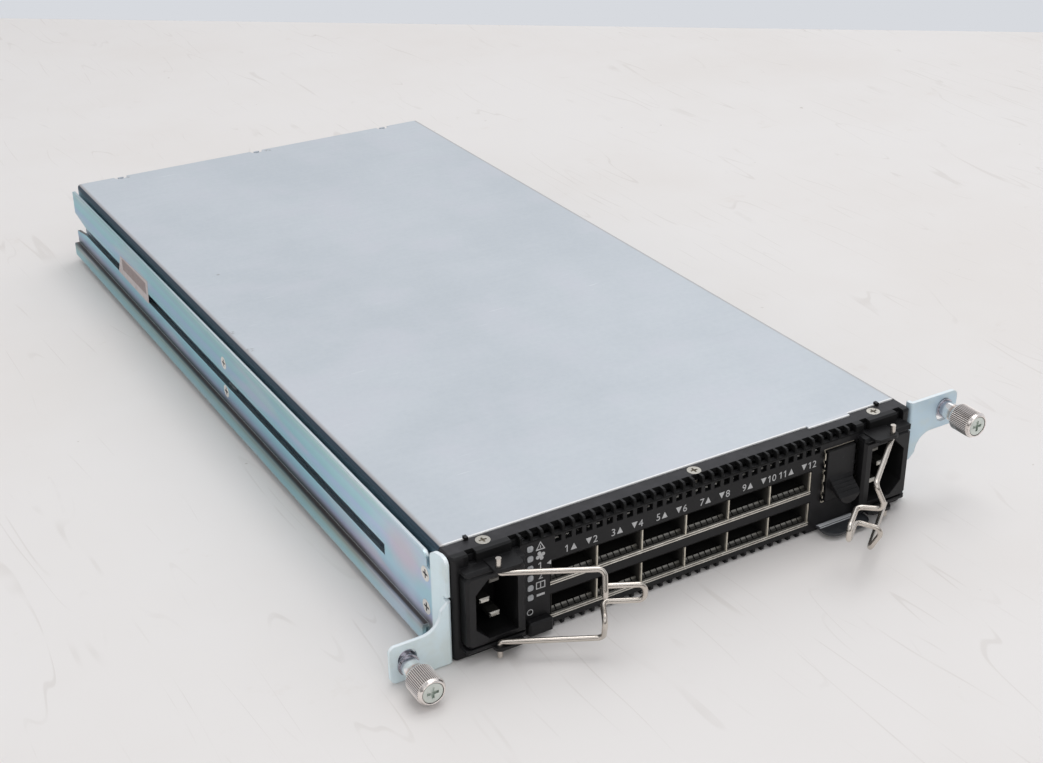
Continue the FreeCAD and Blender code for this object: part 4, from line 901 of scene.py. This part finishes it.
# arm is half the length of the cross, profile holds radius and height of the rings up to the rim
fanScrews = {
    "x": (-71.25, -23.75, 23.75, 71.25), "z": 20.6, "offset": 16.0,
    "rise": 0.75, "arm": 1.55, "slot": 0.75, "deep": 0.55, "profile": [(2.7, -0.1), (2.7, 0.0)],
    "bright": (0.60, 0.62, 0.62), "dull": (0.42, 0.43, 0.43), "metal": 0.95,
}
railScrews = {
    "x": 0.103, "y": (-0.1919, -0.0075), "z": (0.0160, 0.0295),
    "rise": 0.0, "arm": 1.75, "slot": 0.80, "deep": 0.85,
    "profile": [(0.001, -3.6), (1.4, -3.6), (1.4, -1.3), (2.74, -0.06), (2.8, 0.0)],
    "bright": (0.90, 0.88, 0.84), "dull": (0.70, 0.68, 0.63), "metal": 0.75,
}
# painted shade in the screws' crosses
screwGrime = (0.04, 0.038, 0.036)
crossPoints = 72


# a screw as rings along its profile, then rings drawn in from the rim to a cross outline over a
# dome whose height falls with the square of the radius, then the cross sunk to its floor;
# the map's first number is how sunk a ring is
def screwRings(screw):
    arm, half = screw["arm"], screw["slot"] / 2
    quarter = [(arm, -half), (arm, half), (half, half)]
    turns = ((1, 0), (0, 1), (-1, 0), (0, -1))
    corners = [(x * c - z * s, x * s + z * c) for c, s in turns for x, z in quarter]
    cross = alongOutline(corners, crossPoints)
    unit = cross / np.hypot(*cross.T)[:, None]
    rim = screw["profile"][-1][0]
    rings = [(unit * radius, height, 0.0) for radius, height in screw["profile"]]
    for share in (0.2, 0.4, 0.6, 0.8, 1.0):
        flat = unit * rim * (1.0 - share) + cross * share
        rings.append((flat, screw["rise"] * (1.0 - (flat ** 2).sum(1) / rim ** 2), 0.0))
    top = rings[-1][1]
    rings += [(cross * 0.97, top - 0.08, 1.0), (cross * 0.86, top - screw["deep"], 1.0),
              (cross * 0.001, screw["rise"] - screw["deep"] * 1.15, 1.0)]
    grid = np.stack([np.column_stack([flat, np.broadcast_to(height, len(cross))])
                     for flat, height, _ in rings])
    sunk = np.repeat([ring[2] for ring in rings], len(cross))
    return grid * mm, np.column_stack([sunk, np.zeros(len(sunk))])


# bright heads, with painted shade in the cross
def headRecipe(screw):
    def recipe(at):
        sunk = at.axis("X")
        stain = at.node("ShaderNodeTexCoord", out="Object").cloud(500.0, 4.0, 0.6)
        metal = (stain * 0.6).mix(screw["bright"], screw["dull"])
        return {
            "Base Color": (sunk * 0.85).mix(metal, screwGrime),
            "Metallic": screw["metal"] - 0.5 * sunk,
            "Roughness": 0.28 + 0.14 * stain + 0.3 * sunk,
            "Normal": stain.bump(0.03, 0.0001),
        }
    return recipe


# the same rings at many places; axes says which of the rings' axes become x, y and z, and their signs
def addScrews(name, screw, places, axes, signs):
    rings, own = screwRings(screw)
    points, faces = gather([rings[..., axes] * signs + np.array(place) for place in places])
    finish = newFinish(name + "_finish", headRecipe(screw), "UV")
    print(name, "made:", len(faces), "faces")
    return addPiece(name, points, faces, finish, "chassis",
                    np.tile(own, (len(places), 1)))


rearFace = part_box("rear_panel")[1].y
reaches = (-fanScrews["offset"], fanScrews["offset"])
fanPlaces = [((x + dx) * mm, rearFace, (fanScrews["z"] + dz) * mm)
             for x in fanScrews["x"] for dx in reaches for dz in reaches]
addScrews("fan_screw_heads", fanScrews, fanPlaces, [1, 2, 0], (1.0, 1.0, 1.0))
for side, sign in (("left", -1.0), ("right", 1.0)):
    railPlaces = [(sign * railScrews["x"], y, z) for y in railScrews["y"] for z in railScrews["z"]]
    crossed = addScrews(side + "_crossed_screws", railScrews, railPlaces, [2, 0, 1], (sign, sign, 1.0))
    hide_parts(side + "_rail_screws")


# profile: distance behind the face, radius, and how much of the knurl shows there;
# band: where the knurl starts and ends, as shares of the length
knurls = {
    "teeth": 46, "perTooth": 6, "length": 10.9, "deep": 0.30,
    "profile": [(1.8, 2.1, 0.0), (1.8, 3.95, 0.0), (0.08, 3.95, 0.0), (0.0, 4.03, 0.0),
                (0.0, 4.32, 0.0), (0.25, 4.58, 0.0), (1.05, 4.94, 0.0), (1.10, 5.00, 0.0),
                (1.30, 5.30, 1.0), (5.45, 5.30, 1.0), (9.60, 5.30, 1.0), (9.80, 5.00, 0.0),
                (9.85, 4.94, 0.0), (10.65, 4.62, 0.0), (10.9, 4.40, 0.0), (10.9, 2.1, 0.0)],
    "band": (0.10, 0.12, 0.885, 0.905), "bright": (0.92, 0.86, 0.82), "dull": (0.74, 0.67, 0.63),
    # the last colour is painted shade in the knurl's grooves
    "grime": (0.12, 0.095, 0.085),
}


# knurled head: a profile turned about y, its radius lowered by a triangle wave round the knurled part
def knobArrays(node):
    x, z = axisOf(node)
    back, radius, share = np.array(knurls["profile"]).T[:, :, None]
    turn = fullTurn(knurls["teeth"] * knurls["perTooth"])[None, :]
    wave = np.abs(2.0 * ((turn * knurls["teeth"] / (2.0 * math.pi)) % 1.0) - 1.0)
    reach = radius - share * knurls["deep"] * wave
    y = np.broadcast_to(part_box(node)[0].y + back * mm, reach.shape)
    grid = np.stack([x + reach * mm * np.cos(turn), y, z + reach * mm * np.sin(turn)], -1)
    faces = ringFaces(*reach.shape, looped=True)
    own = np.stack([np.broadcast_to(back / knurls["length"], reach.shape), wave * share], -1)
    return grid.reshape(-1, 3), faces, own.reshape(-1, 2)


# the map's second number is the depth in the knurl: painted shade darkens the grooves, rims are
# polished
def knobRecipe(at):
    groove = at.axis("Y")
    knurled = at.axis("X").band(*knurls["band"])
    stain = at.stretched((9.0, 1.0, 1.0)).cloud(1.0, 4.0, 0.6)
    metal = (stain * 0.4).mix(knurls["bright"], knurls["dull"])
    metal = (groove.step(0.20, 0.80) * knurled * 0.86).mix(metal, knurls["grime"])
    return {
        "Base Color": metal,
        "Metallic": 0.95 - 0.25 * groove * knurled,
        "Roughness": 0.16 + 0.08 * stain + 0.16 * knurled,
    }


knobFinish = newFinish("knobNickel", knobRecipe, "UV")
for side in ("left", "right"):
    node = side + "_thumbscrew_knob"
    knobPoints, knobFaces, knobMap = knobArrays(node)
    knob = addPiece(side + "_knurled_knob", knobPoints, knobFaces, knobFinish, side + "_thumbscrew",
                    knobMap)
    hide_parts(node)
print("knobs made:", len(knobFaces), "faces each")


threads = {"root": 2.46, "crest": 2.72, "pitch": 0.8, "from": 2.8, "to": 4.6, "turn": 32, "perTurn": 10}


# thread: radius is a saw-tooth of height along the axis plus the angle, faded out at both ends
def threadArrays(node):
    x, z = axisOf(node)
    length = threads["to"] - threads["from"]
    rows = int(length / threads["pitch"] * threads["perTurn"])
    along, turn = np.meshgrid(np.linspace(0.0, length, rows), fullTurn(threads["turn"]),
                              indexing="ij")
    saw = np.abs(2.0 * ((along / threads["pitch"] + turn / (2.0 * math.pi)) % 1.0) - 1.0)
    fade = np.clip(np.minimum(along, length - along) / threads["pitch"], 0.0, 1.0)
    radius = threads["root"] + (threads["crest"] - threads["root"]) * saw * fade
    y = bezelFace + (threads["from"] + along) * mm
    grid = np.stack([x + radius * mm * np.cos(-turn), y, z + radius * mm * np.sin(-turn)], -1)
    return gather([grid])


for side in ("left", "right"):
    threadPoints, threadFaces = threadArrays(side + "_thumbscrew_stem")
    addPiece(side + "_thumbscrew_thread", threadPoints, threadFaces, finishes["screw_nickel"],
             side + "_thumbscrew")
print("threads made")


# profile: shares of the radius and of how proud the head is, from the rim to the middle
trayStuds = {
    "x": (-66.0, 66.0), "y": (84.0, 152.0, 220.0), "radius": 3.2, "proud": 0.12, "points": 36,
    "profile": [(1.0, -0.5), (0.97, 0.7), (0.90, 1.0), (0.60, 1.0), (0.57, 0.3), (0.54, 0.8),
                (0.001, 0.8)],
}


# pressed stud heads under the tray: flat discs with a rounded rim, turned about z
def trayStudArrays():
    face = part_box("base_tray")[0].z
    reach, drop = np.array(trayStuds["profile"]).T[:, :, None]
    radius = reach * trayStuds["radius"]
    turn = fullTurn(trayStuds["points"])
    ring = np.stack([radius * np.cos(turn), radius * np.sin(-turn),
                     np.repeat(-drop * trayStuds["proud"], trayStuds["points"], 1)], -1)
    return gather([ring * mm + np.array([x * mm, bezelFace + y * mm, face])
                   for x in trayStuds["x"] for y in trayStuds["y"]])


studPoints, studFaces = trayStudArrays()
addPiece("tray_stud_heads", studPoints, studFaces, finishes["spacer_steel"], "chassis")
print("tray studs made")


# rows: shares of the outline and of the thickness, from the metal to the middle
railLabel = {
    "x": -0.103, "corners": [(131.0, 29.0), (136.0, 19.0), (91.5, 18.4), (90.0, 30.6)], "thick": 0.12,
    "points": 40, "rows": ((1.0, -0.02), (1.0, 0.6), (0.992, 1.0), (0.5, 1.0), (0.001, 1.0)),
    "paper": (0.60, 0.54, 0.53), "worn": (0.47, 0.41, 0.40), "field": (0.24, 0.185, 0.175),
    "fieldY": (0.0931, 0.0939, 0.1281, 0.1289), "fieldZ": (0.0221, 0.0229, 0.0281, 0.0289),
}


# blank sticker on the left rail: an outline at the metal, lifted, then drawn in to its middle
def railLabelArrays():
    outline = alongOutline(np.array(railLabel["corners"]) * mm, railLabel["points"])
    middle = outline.mean(0)
    rows = []
    for share, lift in railLabel["rows"]:
        loop = middle + (outline - middle) * share
        x = railLabel["x"] - lift * railLabel["thick"] * mm
        rows.append(np.column_stack([np.full(len(loop), x), loop]))
    return gather([np.stack(rows)])


# aged paper with one plain brownish field
def labelRecipe(at):
    fibre = at.cloud(900.0, 4.0, 0.6)
    wear = at.cloud(260.0, 4.0, 0.65).step(0.40, 0.7)
    paper = (wear * 0.6 + fibre * 0.3).mix(railLabel["paper"], railLabel["worn"])
    field = at.axis("Y").band(*railLabel["fieldY"]) * at.axis("Z").band(*railLabel["fieldZ"])
    return {
        "Base Color": (field * (0.6 + 0.35 * fibre)).mix(paper, railLabel["field"]),
        "Roughness": 0.55 + 0.15 * fibre,
        "Normal": fibre.bump(0.08, 0.0001),
    }


labelPoints, labelFaces = railLabelArrays()
addPiece("rail_label", labelPoints, labelFaces, newFinish("labelPaper", labelRecipe), "chassis")
print("rail label made")


viewPoint = {"place": (-0.3019, -0.5964, 0.3353), "look": (0.4488, 0.7711, -0.4516), "roll": 0.69,
             "lens": 55.437, "sensor": 36.0, "shift": (0.00475, -0.01615), "clip": 0.01}


def setCamera():
    look = Vector(viewPoint["look"]).normalized()
    right = look.cross(Vector((0.0, 0.0, 1.0))).normalized()
    down = look.cross(right)
    turn = math.radians(viewPoint["roll"])
    side = right * math.cos(turn) + down * math.sin(turn)
    fall = down * math.cos(turn) - right * math.sin(turn)
    data = bpy.data.cameras.new("camera")
    data.sensor_width = viewPoint["sensor"]
    data.sensor_fit = "HORIZONTAL"
    data.lens = viewPoint["lens"]
    data.shift_x, data.shift_y = viewPoint["shift"]
    data.clip_start = viewPoint["clip"]
    camera = newObject("camera", data)
    place = Matrix((side, -fall, -look)).transposed().to_4x4()
    place.translation = viewPoint["place"]
    camera.matrix_world = place
    scene.camera = camera


setCamera()


# scratches: how a noise is stretched and turned; lamps: place, size and power
studio = {
    "tableFar": ((-0.0093, 0.7381), (0.6660, 0.2523)), "tableWide": 4.0, "tableDeep": 5.0,
    "tableDrop": 0.0002, "tableColour": (0.842, 0.811, 0.793), "stain": (0.72, 0.66, 0.61),
    "scratch": (0.40, 0.34, 0.29),
    "scratches": [((46.0, 5.0, 1.0), 0.5), ((38.0, 4.0, 1.0), -0.9), ((52.0, 7.0, 1.0), 1.7)],
    "wall": (0.68, 0.70, 0.738), "sky": (0.95, 0.97, 1.0), "ambient": 0.58,
    "behind": (0.10, 0.095, 0.09), "above": (0.50, 0.51, 0.53),
    "turn": (-0.75, 0.35), "overhead": (0.15, 0.8),
    "lamps": {"key": ((0.32, 0.05, 1.9), 1.4, 12.0), "side": ((1.3, 0.6, 1.6), 1.4, 4.0),
              "front": ((-0.1, -1.7, 1.3), 1.3, 3.6),
              "fill": ((-1.3, -1.0, 0.9), 1.2, 2.9)},
}


# pale worn table: broad clouds, a few faint brownish marks and specks, and thin scratches in worn
# patches, where a stretched noise crosses its middle
def tableRecipe(at):
    broad = at.cloud(5.0, 4.0, 0.6).step(0.35, 0.75)
    marks = at.cloud(34.0, 5.0, 0.7).step(0.62, 0.76)
    top = (broad * 0.25 + marks * 0.25).mix(studio["tableColour"], studio["stain"])
    for scale, turn in studio["scratches"]:
        spin = (0.0, 0.0, turn)
        line = abs(at.stretched(scale, spin).cloud(1.0, 1.0, 0.4) - 0.5).step(0.007, 0.002)
        worn = at.stretched((1.0, 1.0, 1.0), spin).cloud(13.0, 3.0, 0.6).step(0.52, 0.64)
        top = (line * worn * 0.15).mix(top, studio["scratch"])
    speck = at.cloud(130.0, 2.0, 0.5).step(0.76, 0.80)
    top = (speck * 0.5).mix(top, studio["scratch"])
    return {"Base Color": top, "Roughness": 0.55 + 0.1 * broad, "Specular IOR Level": 0.25}


# flat table top whose far edge runs through two points, the rest far outside the view
def setTable():
    left, right = (np.array(p) for p in studio["tableFar"])
    run = (right - left) / np.hypot(*(right - left))
    far = np.array([left - run * studio["tableWide"], right + run * studio["tableWide"]])
    near = far + np.array([-abs(run[1]), -abs(run[0])]) * studio["tableDeep"]
    height = np.full(4, cadBox[0].z - studio["tableDrop"])
    points = np.column_stack([np.concatenate([far, near[::-1]]), height])
    mesh = bpy.data.meshes.new("table")
    mesh.from_pydata(points.tolist(), [], [[0, 3, 2, 1]])
    mesh.materials.append(newFinish("tableTop", tableRecipe))
    table = newObject("table", mesh)


# the world is the wall to the camera, the room to reflections, and plain soft light to the rest;
# the room is the wall beyond the object, paler grey overhead and darker behind the camera
def setWorld():
    world = bpy.data.worlds.new("studio")
    world.use_nodes = True
    scene.world = world
    tree = world.node_tree
    back = tree.nodes["Background"]
    start = Wire(tree)
    toward = start.node("ShaderNodeTexCoord", out="Generated")
    beyond = (toward.axis("Y") + 0.5 * toward.axis("X")).step(*studio["turn"])
    room = beyond.mix(studio["behind"], studio["wall"])
    room = toward.axis("Z").step(*studio["overhead"]).mix(room, studio["above"])
    camera = start.node("ShaderNodeLightPath", None, None, "Is Camera Ray")
    bounced = start.node("ShaderNodeLightPath", None, None, "Is Glossy Ray").higher(
        start.node("ShaderNodeLightPath", None, None, "Is Transmission Ray"))
    colour = camera.mix(bounced.mix(studio["sky"], room), studio["wall"])
    start.plug(back.inputs["Color"], colour)
    full = camera.higher(bounced)
    start.plug(back.inputs["Strength"], full * (1.0 - studio["ambient"]) + studio["ambient"])


def setLamps():
    for name, (place, size, power) in studio["lamps"].items():
        data = bpy.data.lights.new(name, "AREA")
        data.shape = "SQUARE"
        data.size = size
        data.energy = power
        lamp = newObject(name, data)
        aim = Vector(place).to_track_quat("Z", "Y").to_matrix().to_4x4()
        lamp.matrix_world = Matrix.Translation(place) @ aim


setTable()
setWorld()
setLamps()
scene.view_settings.view_transform = "Standard"
print("studio set")
